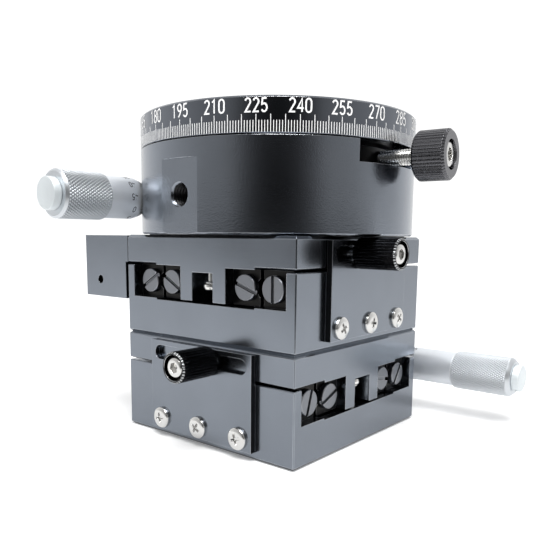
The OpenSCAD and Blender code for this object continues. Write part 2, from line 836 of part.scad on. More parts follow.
module stage_clamp_knob() {
    difference() {
        serrated_bar(clamp_knob_d, clamp_knob_l, clamp_knob_teeth);
        translate([0, 0, -overrun]) cylinder(h = clamp_knob_l + 2 * overrun, r = m3 / 2 + fit);
        translate([0, 0, clamp_knob_l - m3_head_h - fine_chamfer]) {
            cylinder(h = m3_head_h + overrun, r = clamp_head_d / 2 + 2 * head_room);
        }
    }
}

module stage_clamp_screw() {
    seat = clamp_knob_l - m3_head_h - fine_chamfer;
    tip = plate_t + plate_relief + 2 * m3;
    translate([0, 0, seat]) cap_screw([m3, clamp_head_d, m3_head_h], seat + tip);
}

// Micrometer pieces, each along z with its bevelled edge at z = 0

function thimble_r(sizes, i) = sizes[i] / 2;

module thimble(sizes, lengths, bore_d, bore_l, grip, cap_l) {
    z1 = lengths[0];
    z2 = z1 + lengths[1];
    z3 = z2 + lengths[2];
    z4 = z3 + lengths[3];
    r_bevel = thimble_r(sizes, 0);
    r_body = thimble_r(sizes, 1);
    r_knurl = thimble_r(sizes, 2);
    r_bore = bore_d / 2 + 2 * fit;
    step = r_knurl - r_body;
    difference() {
        rotate_extrude() polygon([
            [r_bore, 0], [r_bevel, 0], [r_body, z1], [r_body, z2], [r_knurl, z2 + step],
            [r_knurl, z3], [r_knurl - lengths[3] * 0.7, z4], [0, z4], [0, bore_l], [r_bore, bore_l]
        ]);
        translate([0, 0, bore_l - overrun]) {
            cylinder(h = grip + overrun, r = spindle_d / 2 + fit);
        }
        translate([0, 0, z4 - cap_l]) cylinder(h = cap_l + overrun, r = m3 / 2 + fit);
    }
}

// Round end cap with a stub into the thimble and a wrench hole in its side at the given angle
module end_cap(d, l, z, angle) {
    difference() {
        union() {
            translate([0, 0, z]) rotate_extrude() {
                polygon([[0, 0], [d / 2, 0], [d / 2, l - fine_chamfer], [d / 2 - fine_chamfer, l], [0, l]]);
            }
            translate([0, 0, z - l + fine_chamfer]) cylinder(h = l, d = m3);
        }
        rotate(angle) translate([d / 4, 0, z + l / 2]) rotate([0, 90, 0]) cylinder(h = d, r = m3 / 5);
    }
}

// Spring pins and the return spring between them

// Headed pin that stands up from z = 0, with its seat below and the spring's wire under its head
module spring_pin(seat_top, wire_z) {
    r = pin_d / 2;
    n = pin_neck_d / 2;
    h = pin_head_d / 2;
    z = wire_z + wire_r + push_gap;
    rotate_extrude() polygon([
        [0, 0], [r, 0], [r, seat_top], [n, seat_top], [n, z], [h, z],
        [h, z + pin_head_h / 2], [h - fine_chamfer, z + pin_head_h], [0, z + pin_head_h]
    ]);
}

module base_spring_pin() {
    low = floor_z - pin_seat_l;
    translate([pin_x, 0, low]) spring_pin(pin_seat_l, spring_z - low);
}

module table_spring_pin() {
    high = slot_z + pin_seat_l;
    translate([-pin_x, 0, high]) rotate([180, 0, 0]) spring_pin(pin_seat_l, high - spring_z);
}

// The wire's route: a hook around one pin, the curls, and a hook around the other pin
hook_points = 8;
curl_points = 8;

function hook_point(i) = let (a = 60 + 240 * i / hook_points) [hook_r * cos(a), hook_r * sin(a), 0];

function curl_point(i) = let (a = 360 * i / curl_points, f = i / (curl_points * spring_curls))
    [spring_span * (f - 0.5), curl_r * cos(a), spring_z + curl_r * sin(a)];

// The hook and the lead to the curls, seen from the pin that they hang on
end_route = concat(
    [for (i = [0 : hook_points]) hook_point(i)],
    [[1.7 * hook_r, -hook_r * 0.3, 0], [2.5 * hook_r, curl_r * 0.55, -curl_r * 0.3]]
);
table_end = [for (p = end_route) p + [-pin_x, 0, spring_z]];
base_end = [for (i = [len(table_end) - 1 : -1 : 0]) [-table_end[i][0], table_end[i][1], table_end[i][2]]];
curl_route = [for (i = [0 : curl_points * spring_curls]) curl_point(i)];
spring_route = concat(table_end, curl_route, base_end);

function unit(v) = v / norm(v);

// Tangents of a route, and normals carried along it without twist
function tangents(p) = [
    for (i = [0 : len(p) - 1]) unit(p[min(i + 1, len(p) - 1)] - p[max(i - 1, 0)])
];

function carry(n, t) = unit(n - (n * t) * t);

function normals(t) = [
    for (i = 0, n = [0, 0, 1]; i < len(t); i = i + 1, n = i < len(t) ? carry(n, t[i]) : n) n
];

// Unbroken six-sided tube along a route
module wire(p, r) {
    sides = 6;
    t = tangents(p);
    n = normals(t);
    count = len(p);
    points = [
        for (i = [0 : count - 1])
            for (k = [0 : sides - 1])
                let (a = 360 * k / sides) p[i] + r * (cos(a) * n[i] + sin(a) * cross(t[i], n[i]))
    ];
    skin = [
        for (i = [0 : count - 2])
            for (k = [0 : sides - 1])
                let (a = i * sides + k, b = i * sides + (k + 1) % sides)
                    each [[a, a + sides, b], [b, a + sides, b + sides]]
    ];
    ends = concat(
        [for (k = [1 : sides - 2]) [0, k, k + 1]],
        [for (k = [1 : sides - 2]) [(count - 1) * sides, (count - 1) * sides + k + 1, (count - 1) * sides + k]]
    );
    polyhedron(points = points, faces = concat(skin, ends));
}

// Least space between stretches of the wire that lie at least half a curl apart
wire_gap = min([
    for (i = [0 : len(spring_route) - 1])
        for (j = [i + 5 : len(spring_route) - 1])
            if (j < len(spring_route)) norm(spring_route[i] - spring_route[j])
]) - wire_d;
echo(least_gap_of_the_spring_wire_in_mm = wire_gap);

module return_spring() {
    wire(spring_route, wire_r);
}

// Rotation stage

module round_body() {
    r = round_r;
    c = round_chamfer;
    difference() {
        rotate_extrude() polygon([
            [0, foot_z], [r - foot_inset, foot_z], [r - foot_inset, round_z], [r - c, round_z],
            [r, round_z + c], [r, round_top], [0, round_top]
        ]);
        translate([0, 0, ring_floor]) cylinder(h = ring_room + overrun, r = cavity_r);
        translate([0, 0, race_z]) cylinder(h = race_h + ring_room, d = race_d);
        translate([0, 0, hub_z - dial_gap]) cylinder(h = race_h, r = race_in_r + dial_gap);
        span_box(
            [-fine_x - arm_d / 2 - dial_gap * 3, -slot_half_y, arm_low - dial_gap * 3],
            [-fine_x + arm_d / 2 + dial_gap * 3, slot_half_y, round_top]
        );
        fine_place(pocket_y) cylinder(h = round_r, d = pocket_d);
        fine_place(slot_half_y - overrun) cylinder(h = round_r, r = fine_sleeve_d / 2 + fit);
        plunger_place(slot_half_y - overrun) cylinder(h = round_r, r = plunger_d / 2 + fit);
        span_box([-round_r, -round_d, foot_z - overrun], [round_r, -flat_y, round_z + flat_h]);
        side_hole();
        window();
        four_corners(mount_x, mount_y) {
            translate([0, 0, round_z + mount_seat]) cap_room(m4_head, 2 * mount_seat, body_h - ring_room);
        }
    }
}

module side_hole() {
    r = side_hole_d * tap_share / 2;
    r_open = side_hole_d / 2 + fit;
    translate([0, -flat_y, round_z + side_hole_z]) rotate([-90, 0, 0]) {
        cylinder(h = side_hole_l, r = r);
        translate([0, 0, -overrun]) cylinder(h = overrun, r = r_open);
        cylinder(h = r_open - r, r1 = r_open, r2 = r);
    }
}

// Opening in the wall that the clamp screw swings in
module window() {
    reach = 2 * round_r;
    a0 = clamp_angle - window_angle;
    a1 = clamp_angle + window_angle;
    translate([0, 0, round_z + window_z]) linear_extrude(body_h) {
        polygon([[0, 0], reach * [cos(a0), sin(a0)], reach * [cos(a1), sin(a1)]]);
    }
}

// Puts children on the rotation micrometer's axis, y out from the middle, with z along -Y
module fine_place(y) {
    translate([-fine_x, -y, fine_axis_z]) rotate([90, 0, 0]) children();
}

// The same on the plunger's side, with z along +Y
module plunger_place(y) {
    translate([-fine_x, y, fine_axis_z]) rotate([-90, 0, 0]) children();
}

module race_ring() {
    g = groove_depth;
    rotate_extrude() polygon([
        [race_in_r, race_z], [race_d / 2, race_z], [race_d / 2, race_top], [race_in_r, race_top],
        [race_in_r, race_mid + g], [race_in_r + g, race_mid], [race_in_r, race_mid - g]
    ]);
}

module ring_bearing_rollers() {
    for (i = [0 : ring_rollers - 1]) {
        rotate(i * 360 / ring_rollers) translate([pitch_r, 0, race_mid]) {
            rotate([0, 45 + 90 * (i % 2), 0]) cylinder(h = roller_l, r = roller_r, center = true);
        }
    }
}

module dial() {
    g = groove_depth;
    c = round_chamfer;
    bore_r = dial_bore_d / 2;
    difference() {
        rotate_extrude() polygon([
            [bore_r, hub_z], [hub_r, hub_z], [hub_r, race_mid - g], [hub_r - g, race_mid],
            [hub_r, race_mid + g], [hub_r, ring_floor - dial_gap], [neck_r, ring_floor - dial_gap],
            [neck_r, dial_z], [round_r - c / 2, dial_z], [round_r, dial_z + c / 2],
            [round_r, dial_top - c], [round_r - c, dial_top], [bore_r, dial_top]
        ]);
        four_corners(dial_pitch / 2, dial_pitch / 2) {
            translate([0, 0, dial_top - dial_hole_l]) {
                cylinder(h = dial_hole_l + overrun, d = m4 * tap_share);
            }
        }
    }
}

module clamp_ring() {
    difference() {
        union() {
            translate([0, 0, ring_z]) cylinder(h = ring_t, d = ring_d);
            translate([-fine_x, 0, arm_low]) cylinder(h = ring_z - arm_low + ring_t / 2, d = arm_d);
        }
        translate([0, 0, ring_z - overrun]) cylinder(h = ring_t + 2 * overrun, r = neck_r + fit);
        round_clamp_place(0) cylinder(h = ring_d, r = m4 / 2 + fit);
    }
}

// Puts children on the round clamp screw's axis at radius r, with z pointing out
module round_clamp_place(r) {
    rotate(clamp_angle) translate([r, 0, clamp_screw_z]) rotate([0, 90, 0]) children();
}

module round_clamp_knob() {
    depth = round_knob_l - (round_seat_r - round_knob_r);
    difference() {
        serrated_bar(round_knob_d, round_knob_l, round_knob_teeth);
        translate([0, 0, -overrun]) cylinder(h = round_knob_l + 2 * overrun, r = m4 / 2 + fit);
        translate([0, 0, round_knob_l - depth]) {
            cylinder(h = depth + overrun, r = round_head_d / 2 + head_room);
        }
    }
}

module plunger_housing() {
    l = plunger_y1 - plunger_y0;
    difference() {
        cylinder(h = l, d = plunger_d);
        translate([0, 0, -overrun]) cylinder(h = plunger_end + 2 * overrun, r = plunger_stem_d / 2 + fit);
        translate([0, 0, plunger_end]) cylinder(h = l - 2 * plunger_end, d = plunger_bore_d);
        hex_socket(m4 * socket_share, plunger_end / 2, l);
    }
}

module plunger_pin() {
    plunger_place(fine_tip_y) cylinder(h = collar_y - fine_tip_y + plunger_collar_t / 2, d = plunger_stem_d);
    plunger_place(collar_y) cylinder(h = plunger_collar_t, r = plunger_bore_d / 2 - push_gap);
}

// Nodes

module x_base() { color(black) stage_base(); }
module x_outer_rails() { color(dark_steel) outer_rails(); }
module x_outer_stop_screws() {
    color(dark_steel) stop_screws(channel_y + stop_offset, stop_angles_lower[0], stop_angles_lower[3]);
}
module x_clamp_plate() { color(black) clamp_plate(); }
module x_clamp_plate_screws() { color(bright) clamp_plate_screws(plate_angles_lower); }
module x_bracket() { color(black) bracket(); }
module x_sleeve() { color(bright) stage_sleeve(); }
module x_base_cap_screws() {
    color(dark_steel) base_rail_bolts() rotate([180, 0, 0]) cap_screw(m3_head, screw_l);
    color(dark_steel) bracket_screw_places() cap_screw(m3_head, screw_l);
}
module x_base_spring_pin() { color(bright) base_spring_pin(); }
module x_return_spring() { color(bright) return_spring(); }

module x_table() {
    p = stack_pitch / 2;
    depth = screw_l - stack_seat + screw_tip_gap;
    color(black) stage_table(clamp_x_lower, [[-p, -p], [-p, p], [p, -p], [p, p]], depth);
}
module x_inner_rails() { color(dark_steel) inner_rails(); }
module x_inner_stop_screws() {
    color(dark_steel) stop_screws(channel_y - stop_offset, stop_angles_lower[1], stop_angles_lower[2]);
}
module x_anvil_block() { color(black) anvil_block(); }
module x_table_cap_screws() {
    color(dark_steel) table_rail_bolts() cap_screw(m3_head, screw_l);
    color(dark_steel) anvil_screw_places() cap_screw(m3_head, screw_l);
    color(dark_steel) on_upper() base_rail_bolts() rotate([180, 0, 0]) cap_screw(m3_head, screw_l);
    color(dark_steel) on_upper() bracket_screw_places() cap_screw(m3_head, screw_l);
}
module middle_spring_pins() {
    color(bright) table_spring_pin();
    color(bright) on_upper() base_spring_pin();
}
module x_roller_cages() { color(bright) roller_cages(); }
module x_rollers() { color(bright) rollers(); }
module x_spindle() { color(bright) stage_spindle(); }
module x_thimble() { color(steel) stage_thimble(); }
module x_end_cap() {
    color(bright) mic_place(mic_bevel_x) end_cap(mic_cap_d, mic_cap_l, mic_thimble_l, -25);
}
module x_clamp_knob() { color(black) clamp_place(clamp_x_lower) stage_clamp_knob(); }
module x_clamp_screw() { color(bright) clamp_place(clamp_x_lower) stage_clamp_screw(); }
module stack_screws() {
    color(dark_steel) on_upper() four_corners(stack_pitch / 2, stack_pitch / 2) {
        translate([0, 0, stack_seat]) cap_screw(m4_head, screw_l);
    }
}

module y_base() { color(black) on_upper() stage_base(); }
module y_outer_rails() { color(dark_steel) on_upper() outer_rails(); }
module y_outer_stop_screws() {
    color(dark_steel) on_upper() {
        stop_screws(channel_y + stop_offset, stop_angles_upper[3], stop_angles_upper[0]);
    }
}
module y_clamp_plate() { color(black) on_upper() clamp_plate(); }
module y_clamp_plate_screws() { color(bright) on_upper() clamp_plate_screws(plate_angles_upper); }
module y_bracket() { color(black) on_upper() bracket(); }
module y_sleeve() { color(bright) on_upper() stage_sleeve(); }
module y_return_spring() { color(bright) on_upper() return_spring(); }

module y_table() {
    color(black) on_upper() {
        stage_table(
            clamp_x_upper,
            [[-mount_y, -mount_x], [-mount_y, mount_x], [mount_y, -mount_x], [mount_y, mount_x]],
            screw_l - mount_seat - foot_h + screw_tip_gap
        );
    }
}
module y_inner_rails() { color(dark_steel) on_upper() inner_rails(); }
module y_inner_stop_screws() {
    color(dark_steel) on_upper() {
        stop_screws(channel_y - stop_offset, stop_angles_upper[2], stop_angles_upper[1]);
    }
}
module y_anvil_block() { color(black) on_upper() anvil_block(); }
module y_table_cap_screws() {
    color(dark_steel) on_upper() table_rail_bolts() cap_screw(m3_head, screw_l);
    color(dark_steel) on_upper() anvil_screw_places() cap_screw(m3_head, screw_l);
}
module y_table_spring_pin() { color(bright) on_upper() table_spring_pin(); }
module y_roller_cages() { color(bright) on_upper() roller_cages(); }
module y_rollers() { color(bright) on_upper() rollers(); }
module y_spindle() { color(bright) on_upper() stage_spindle(); }
module y_thimble() { color(steel) on_upper() stage_thimble(); }
module y_end_cap() {
    color(bright) on_upper() mic_place(mic_bevel_x) end_cap(mic_cap_d, mic_cap_l, mic_thimble_l, -25);
}
module y_clamp_knob() { color(black) on_upper() clamp_place(clamp_x_upper) stage_clamp_knob(); }
module y_clamp_screw() { color(bright) on_upper() clamp_place(clamp_x_upper) stage_clamp_screw(); }

// Spindle and thimble of a linear stage
module stage_spindle() {
    end_x = mic_bevel_x + mic_bore_l + spindle_grip - push_gap;
    mic_place(spindle_tip_x) cylinder(h = end_x - spindle_tip_x, d = spindle_d);
}
module stage_thimble() {
    mic_place(mic_bevel_x) {
        thimble(mic_sizes, mic_lengths, mic_sleeve_d, mic_bore_l, spindle_grip, mic_cap_l);
    }
}

module r_body() { color(black) round_body(); }
module r_mount_screws() {
    color(dark_steel) four_corners(mount_x, mount_y) {
        translate([0, 0, round_z + mount_seat]) cap_screw(m4_head, screw_l);
    }
}
module r_race_ring() { color(dark_steel) race_ring(); }
module r_rollers() { color(bright) ring_bearing_rollers(); }
module r_dial() { color(black) dial(); }
module r_clamp_ring() { color(dark_steel) clamp_ring(); }
module r_clamp_knob() { color(steel) round_clamp_place(round_knob_r) round_clamp_knob(); }
module r_clamp_screw() {
    color(bright) round_clamp_place(round_seat_r) {
        cap_screw([m4, round_head_d, m3_head_h], round_seat_r - round_screw_r0);
    }
}
module r_sleeve() {
    color(bright) fine_place(fine_sleeve_y) {
        tube(fine_sleeve_end_y - fine_sleeve_y, fine_sleeve_d / 2, spindle_d / 2 + fit);
    }
}
module r_spindle() {
    end_y = fine_bevel_y + fine_bore_l + fine_grip - push_gap;
    color(bright) fine_place(fine_tip_y) cylinder(h = end_y - fine_tip_y, d = spindle_d);
}
module r_thimble() {
    color(steel) fine_place(fine_bevel_y) {
        thimble(fine_sizes, fine_lengths, fine_sleeve_d, fine_bore_l, fine_grip, fine_cap_l);
    }
}
module r_end_cap() {
    color(bright) fine_place(fine_bevel_y) end_cap(fine_cap_d, fine_cap_l, fine_thimble_l, 120);
}
module r_plunger_housing() { color(steel) plunger_place(plunger_y0) plunger_housing(); }
module r_plunger_pin() { color(bright) plunger_pin(); }
module r_plunger_spring() {
    color(bright) plunger_place(plunger_spring_y) {
        tube(plunger_y1 - plunger_end - plunger_spring_y, plunger_bore_d / 2 - push_gap, plunger_stem_d / 2);
    }
}

x_base();
x_outer_rails();
x_outer_stop_screws();
x_clamp_plate();
x_clamp_plate_screws();
x_bracket();
x_sleeve();
x_base_cap_screws();
x_base_spring_pin();
x_return_spring();
x_table();
x_inner_rails();
x_inner_stop_screws();
x_anvil_block();
x_table_cap_screws();
middle_spring_pins();
x_roller_cages();
x_rollers();
x_spindle();
x_thimble();
x_end_cap();
x_clamp_knob();
x_clamp_screw();
stack_screws();
y_base();
y_outer_rails();
y_outer_stop_screws();
y_clamp_plate();
y_clamp_plate_screws();
y_bracket();
y_sleeve();
y_return_spring();
y_table();
y_inner_rails();
y_inner_stop_screws();
y_anvil_block();
y_table_cap_screws();
y_table_spring_pin();
y_roller_cages();
y_rollers();
y_spindle();
y_thimble();
y_end_cap();
y_clamp_knob();
y_clamp_screw();
r_body();
r_mount_screws();
r_race_ring();
r_rollers();
r_dial();
r_clamp_ring();
r_clamp_knob();
r_clamp_screw();
r_sleeve();
r_spindle();
r_thimble();
r_end_cap();
r_plunger_housing();
r_plunger_pin();
r_plunger_spring();
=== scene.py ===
"""Looks of the xy rotation stage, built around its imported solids, in metres."""

import math
from types import SimpleNamespace

import bmesh
import bpy
from mathutils import Matrix, Vector


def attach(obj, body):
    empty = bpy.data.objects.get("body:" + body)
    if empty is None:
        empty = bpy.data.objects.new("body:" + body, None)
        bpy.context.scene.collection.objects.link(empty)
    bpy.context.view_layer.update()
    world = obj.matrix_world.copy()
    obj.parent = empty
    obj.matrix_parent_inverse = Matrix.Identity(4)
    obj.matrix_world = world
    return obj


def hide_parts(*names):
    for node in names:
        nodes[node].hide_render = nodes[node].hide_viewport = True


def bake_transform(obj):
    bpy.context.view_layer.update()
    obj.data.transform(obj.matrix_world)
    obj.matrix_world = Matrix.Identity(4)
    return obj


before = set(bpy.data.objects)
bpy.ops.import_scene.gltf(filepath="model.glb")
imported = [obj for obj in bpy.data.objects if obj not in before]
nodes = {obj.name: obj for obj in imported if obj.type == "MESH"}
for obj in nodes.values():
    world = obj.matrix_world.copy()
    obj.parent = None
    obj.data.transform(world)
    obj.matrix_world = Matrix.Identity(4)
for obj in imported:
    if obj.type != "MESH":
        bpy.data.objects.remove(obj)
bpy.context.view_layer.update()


# The bench and the camera
# The stage stands on a white seamless bench in even light from all sides. Only the side that it
# is photographed from is dark, and the black metal mirrors that as a soft dark band.

CAMERA_TURN = math.radians(39.604)
CAMERA_TILT = math.radians(8.053)
CAMERA_ROLL = math.radians(0.55)
CAMERA_PLACE = Vector((0.11403, -0.14109, 0.05456))
FRAME_PIXELS = 550
FOCAL_PIXELS = 621.82
AXIS_PIXEL = (268.619, 324.74)
CAMERA_SIDE = Vector((CAMERA_PLACE.x, CAMERA_PLACE.y, 0)).normalized()
BENCH_SIZE = 6.0
BENCH_DROP = 0.0001
# The painted shade in the paper's mirror image sets in, and its own glow grows, with the distance in metres.
MIRROR_SHADE_REACH = (0.08, 0.3)
MIRROR_SHADE_SHARE = (0.22, 1)
GLOW_REACH = (0.4, 1.1)
GLOW_STRENGTH = (0.16, 0.45)
PANEL_PLACE = Vector((0.4, -0.5, 1.35))
PANEL_SIZE = 0.8
PANEL_POWER = 20.0
LIGHT_STRENGTH = 1.12
# How grey the light is, from the side away from the camera, at 0, to the camera's side, at 1.
LIGHT_FALL = (
    (0.0, 0.97), (0.16, 0.95), (0.24, 0.88), (0.35, 0.75), (0.5, 0.64), (0.6, 0.55),
    (0.75, 0.42), (0.86, 0.37), (0.9, 0.31), (0.935, 0.17), (0.975, 0.05), (1.0, 0.01),
)


def into_scene(name, data):
    made = bpy.data.objects.new(name, data)
    bpy.context.scene.collection.objects.link(made)
    return made


camera_data = bpy.data.cameras.new("camera")
camera_data.sensor_width = 36
camera_data.lens = FOCAL_PIXELS / FRAME_PIXELS * camera_data.sensor_width
camera_data.shift_x = (FRAME_PIXELS / 2 - AXIS_PIXEL[0]) / FRAME_PIXELS
camera_data.shift_y = (AXIS_PIXEL[1] - FRAME_PIXELS / 2) / FRAME_PIXELS
camera_data.clip_start = 0.01
camera = into_scene("camera", camera_data)
turn = Matrix.Rotation(CAMERA_TURN, 4, "Z")
tilt = Matrix.Rotation(math.pi / 2 - CAMERA_TILT, 4, "X")
roll = Matrix.Rotation(CAMERA_ROLL, 4, "Z")
camera.matrix_world = Matrix.Translation(CAMERA_PLACE) @ turn @ tilt @ roll
bpy.context.scene.camera = camera
bpy.context.scene.view_settings.view_transform = "Standard"


def set_inputs(tree, node, values):
    """Gives each named or numbered socket a constant, or the output that feeds it."""
    for socket, value in values.items():
        if isinstance(value, bpy.types.NodeSocket):
            tree.links.new(value, node.inputs[socket])
        else:
            node.inputs[socket].default_value = value


def add_node(tree, kind, values=None, **settings):
    """New node with its settings, and its inputs as set_inputs takes them."""
    made = tree.nodes.new(kind)
    for name, value in settings.items():
        setattr(made, name, value)
    set_inputs(tree, made, values or {})
    return made


def calculate(tree, operation, *values):
    """Result of a Math node."""
    return add_node(tree, "ShaderNodeMath", dict(enumerate(values)), operation=operation).outputs[0]


def dot_product(tree, one, other):
    values = {0: one, 1: other}
    return add_node(tree, "ShaderNodeVectorMath", values, operation="DOT_PRODUCT").outputs["Value"]


def remapped(tree, value, old, new):
    """Value carried from the range old to the range new, and held at its ends."""
    names = ("Value", "From Min", "From Max", "To Min", "To Max")
    values = dict(zip(names, (value, *old, *new)))
    return add_node(tree, "ShaderNodeMapRange", values).outputs["Result"]


def mixed_colour(tree, share, low, high):
    """Colour between low and high, where each may be a constant or an output."""
    return add_node(tree, "ShaderNodeMix", {0: share, 6: low, 7: high}, data_type="RGBA").outputs[2]


def grey(level):
    return (level, level, level, 1)


def studio_light():
    """Even white light that falls off towards the side of the camera."""
    world = bpy.data.worlds.new("studio")
    bpy.context.scene.world = world
    world.use_nodes = True
    tree = world.node_tree
    place = add_node(tree, "ShaderNodeTexCoord").outputs["Generated"]
    share = calculate(tree, "MULTIPLY_ADD", dot_product(tree, place, CAMERA_SIDE), 0.5, 0.5)
    ramp = add_node(tree, "ShaderNodeValToRGB", {"Fac": share})
    for place_on_ramp, _ in LIGHT_FALL[1:-1]:
        ramp.color_ramp.elements.new(place_on_ramp)
    for element, (_, level) in zip(ramp.color_ramp.elements, LIGHT_FALL):
        element.color = grey(level)
    seen = add_node(tree, "ShaderNodeLightPath").outputs["Is Camera Ray"]
    colour = mixed_colour(tree, seen, ramp.outputs["Color"], grey(1))
    set_inputs(tree, tree.nodes["Background"], {"Strength": LIGHT_STRENGTH, "Color": colour})


studio_light()

# One large white panel, high in front, faces the stage.
panel = bpy.data.lights.new("high_front_panel", "AREA")
panel.shape = "SQUARE"
panel.size = PANEL_SIZE
panel.energy = PANEL_POWER
lamp = into_scene("high_front_panel", panel)
lamp.matrix_world = PANEL_PLACE.to_track_quat("Z", "Y").to_matrix().to_4x4()
lamp.location = PANEL_PLACE


def plain_mesh(name, vertices, faces, edges=()):
    mesh = bpy.data.meshes.new(name)
    mesh.from_pydata(vertices, edges, faces)
    mesh.update()
    return into_scene(name, mesh)


bench_half = BENCH_SIZE / 2
bench_corners = [(-bench_half, -bench_half, 0), (bench_half, -bench_half, 0)]
bench_corners += [(bench_half, bench_half, 0), (-bench_half, bench_half, 0)]
bench = plain_mesh("bench", bench_corners, [(0, 1, 2, 3)])
bench.location.z = -BENCH_DROP


def new_material(name):
    """Material with its node tree and its shader."""
    material = bpy.data.materials.new(name)
    material.use_nodes = True
    return material, material.node_tree, material.node_tree.nodes["Principled BSDF"]


def bench_finish():
    """White paper. Towards the camera's side its colour in glossy rays is painted near black, a painted shade
    in its reflections in the metal.
    """
    material, tree, shader = new_material("bench_paper")
    place = add_node(tree, "ShaderNodeTexCoord").outputs["Object"]
    painted_mirror_shade = remapped(tree, dot_product(tree, place, CAMERA_SIDE), MIRROR_SHADE_REACH, MIRROR_SHADE_SHARE)
    seen = add_node(tree, "ShaderNodeLightPath").outputs["Is Glossy Ray"]
    # Painted shade: glossy rays see the paper near black towards the camera's side.
    colour = mixed_colour(tree, calculate(tree, "MULTIPLY", painted_mirror_shade, seen), grey(0.97), grey(0.03))
    apart = add_node(tree, "ShaderNodeVectorMath", {0: place}, operation="LENGTH").outputs["Value"]
    glow = remapped(tree, apart, GLOW_REACH, GLOW_STRENGTH)
    set_inputs(tree, shader, {"Base Color": colour, "Emission Color": colour, "Emission Strength": glow})
    shader.inputs["Specular IOR Level"].default_value = 0.0
    return material


bench.data.materials.append(bench_finish())


# The bodies of both linear stages
# Milled aluminium blocks, blasted to a fine matt grain and anodised black: bases, tables, clamp
# plates, brackets and anvil blocks. Milling leaves a fine chamfer, drawn as a pale line that is partly
# wearing of the anodising and partly a painted highlight.

BLACK_DYE = (0.215, 0.237, 0.27)
BLACK_WEAR_AND_HIGHLIGHT = (0.74, 0.76, 0.8)


def noise(tree, place, scale, detail=2.0):
    values = {"Vector": place, "Scale": scale, "Detail": detail}
    return add_node(tree, "ShaderNodeTexNoise", values).outputs["Fac"]


def shade(colour, share=1.0):
    """Colour made darker or lighter, with full cover."""
    return (*[min(1, part * share) for part in colour], 1)


def metal_finish(
    name, dye, wear_and_highlight_colour, roughness, grain=4000.0, grain_height=0.00001,
    spread=0.06, edge=0.0002, streak=(1, 1, 1), metallic=1.0,
):
    """Metal with a fine grain, uneven sheen and pale edges, partly from wearing and partly a painted
    highlight. streak stretches the grain.
    """
    material, tree, shader = new_material(name)
    place = add_node(tree, "ShaderNodeTexCoord").outputs["Object"]
    aim = add_node(tree, "ShaderNodeMapping", {"Vector": place, "Scale": streak})
    fine = noise(tree, aim.outputs["Vector"], grain, 3.0)
    cloudy = noise(tree, place, 90.0, 4.0)

    uneven = calculate(tree, "MULTIPLY_ADD", cloudy, 0.5, calculate(tree, "MULTIPLY", fine, 0.5))
    sheen = remapped(tree, uneven, (0, 1), (roughness - spread, roughness + spread))

    # Where the rounded normal turns away from the true face, the dye turns pale in patches: partly wearing of
    # the edges, partly a painted highlight along them.
    rounded = add_node(tree, "ShaderNodeBevel", {"Radius": edge}, samples=6).outputs["Normal"]
    true_face = add_node(tree, "ShaderNodeNewGeometry").outputs["Normal"]
    wear_and_highlight_mask = remapped(tree, dot_product(tree, rounded, true_face), (0.999, 0.93), (0, 0.9))
    patchy = remapped(tree, cloudy, (0.35, 0.65), (0.35, 1))
    rubbed = calculate(tree, "MULTIPLY", wear_and_highlight_mask, patchy)

    tone = mixed_colour(tree, cloudy, shade(dye, 0.9), shade(dye, 1.12))
    colour = mixed_colour(tree, rubbed, tone, shade(wear_and_highlight_colour))
    bumps = {"Distance": grain_height, "Strength": 0.6, "Height": fine, "Normal": rounded}
    normal = add_node(tree, "ShaderNodeBump", bumps).outputs["Normal"]
    set_inputs(tree, shader, {"Base Color": colour, "Roughness": sheen, "Normal": normal})
    shader.inputs["Metallic"].default_value = metallic
    return material


def dress(names, material):
    for name in names:
        nodes[name].data.materials.clear()
        nodes[name].data.materials.append(material)


black_anodised = metal_finish("black_anodised", BLACK_DYE, BLACK_WEAR_AND_HIGHLIGHT, 0.2, spread=0.04)
dress(
    ["x_base", "x_table", "x_clamp_plate", "x_bracket", "x_anvil_block"]
    + ["y_base", "y_table", "y_clamp_plate", "y_bracket", "y_anvil_block"],
    black_anodised,
)

# The ends of the clamp plates are duller than their milled faces, and painted near black as a painted shade
# for the dark that they mirror.
painted_end_shade = metal_finish("painted_end_shade", (0.02, 0.021, 0.023), BLACK_WEAR_AND_HIGHLIGHT, 0.45, spread=0.04)
for name, axis in (("x_clamp_plate", 0), ("y_clamp_plate", 1)):
    plate = nodes[name].data
    plate.materials.append(painted_end_shade)
    for face in plate.polygons:
        if abs(face.normal[axis]) > 0.9:
            face.material_index = 1


# The rails of both linear stages
# Ground bearing steel bars with a V groove, bolted to the bases and to the tables. They are painted
# near black all over, a painted shade for the deep openings at their ends, with the marks of the
# grinding wheel across them.

painted_shade_steel = metal_finish(
    "painted_shade_steel", (0.022, 0.0215, 0.021), (0.3, 0.3, 0.3), 0.3, grain=1500, streak=(1, 1, 6)
)
dress(["x_outer_rails", "x_inner_rails", "y_outer_rails", "y_inner_rails"], painted_shade_steel)


# The cages and their crossed rollers
# A punched strip of spring steel runs between each pair of rails and carries hardened rollers,
# every other one turned by a quarter. They are polished and lightly oiled.

polished_steel = metal_finish(
    "polished_steel", (0.66, 0.66, 0.65), (0.85, 0.85, 0.85), 0.2, grain=2500, spread=0.05
)
dress(["x_roller_cages", "y_roller_cages", "x_rollers", "y_rollers"], polished_steel)


# The stop screws in the rails' ends
# Eight slotted steel discs on each stage keep the roller cages in. They are turned, slotted and
# blackened, and each one came to rest with its slot at another angle.

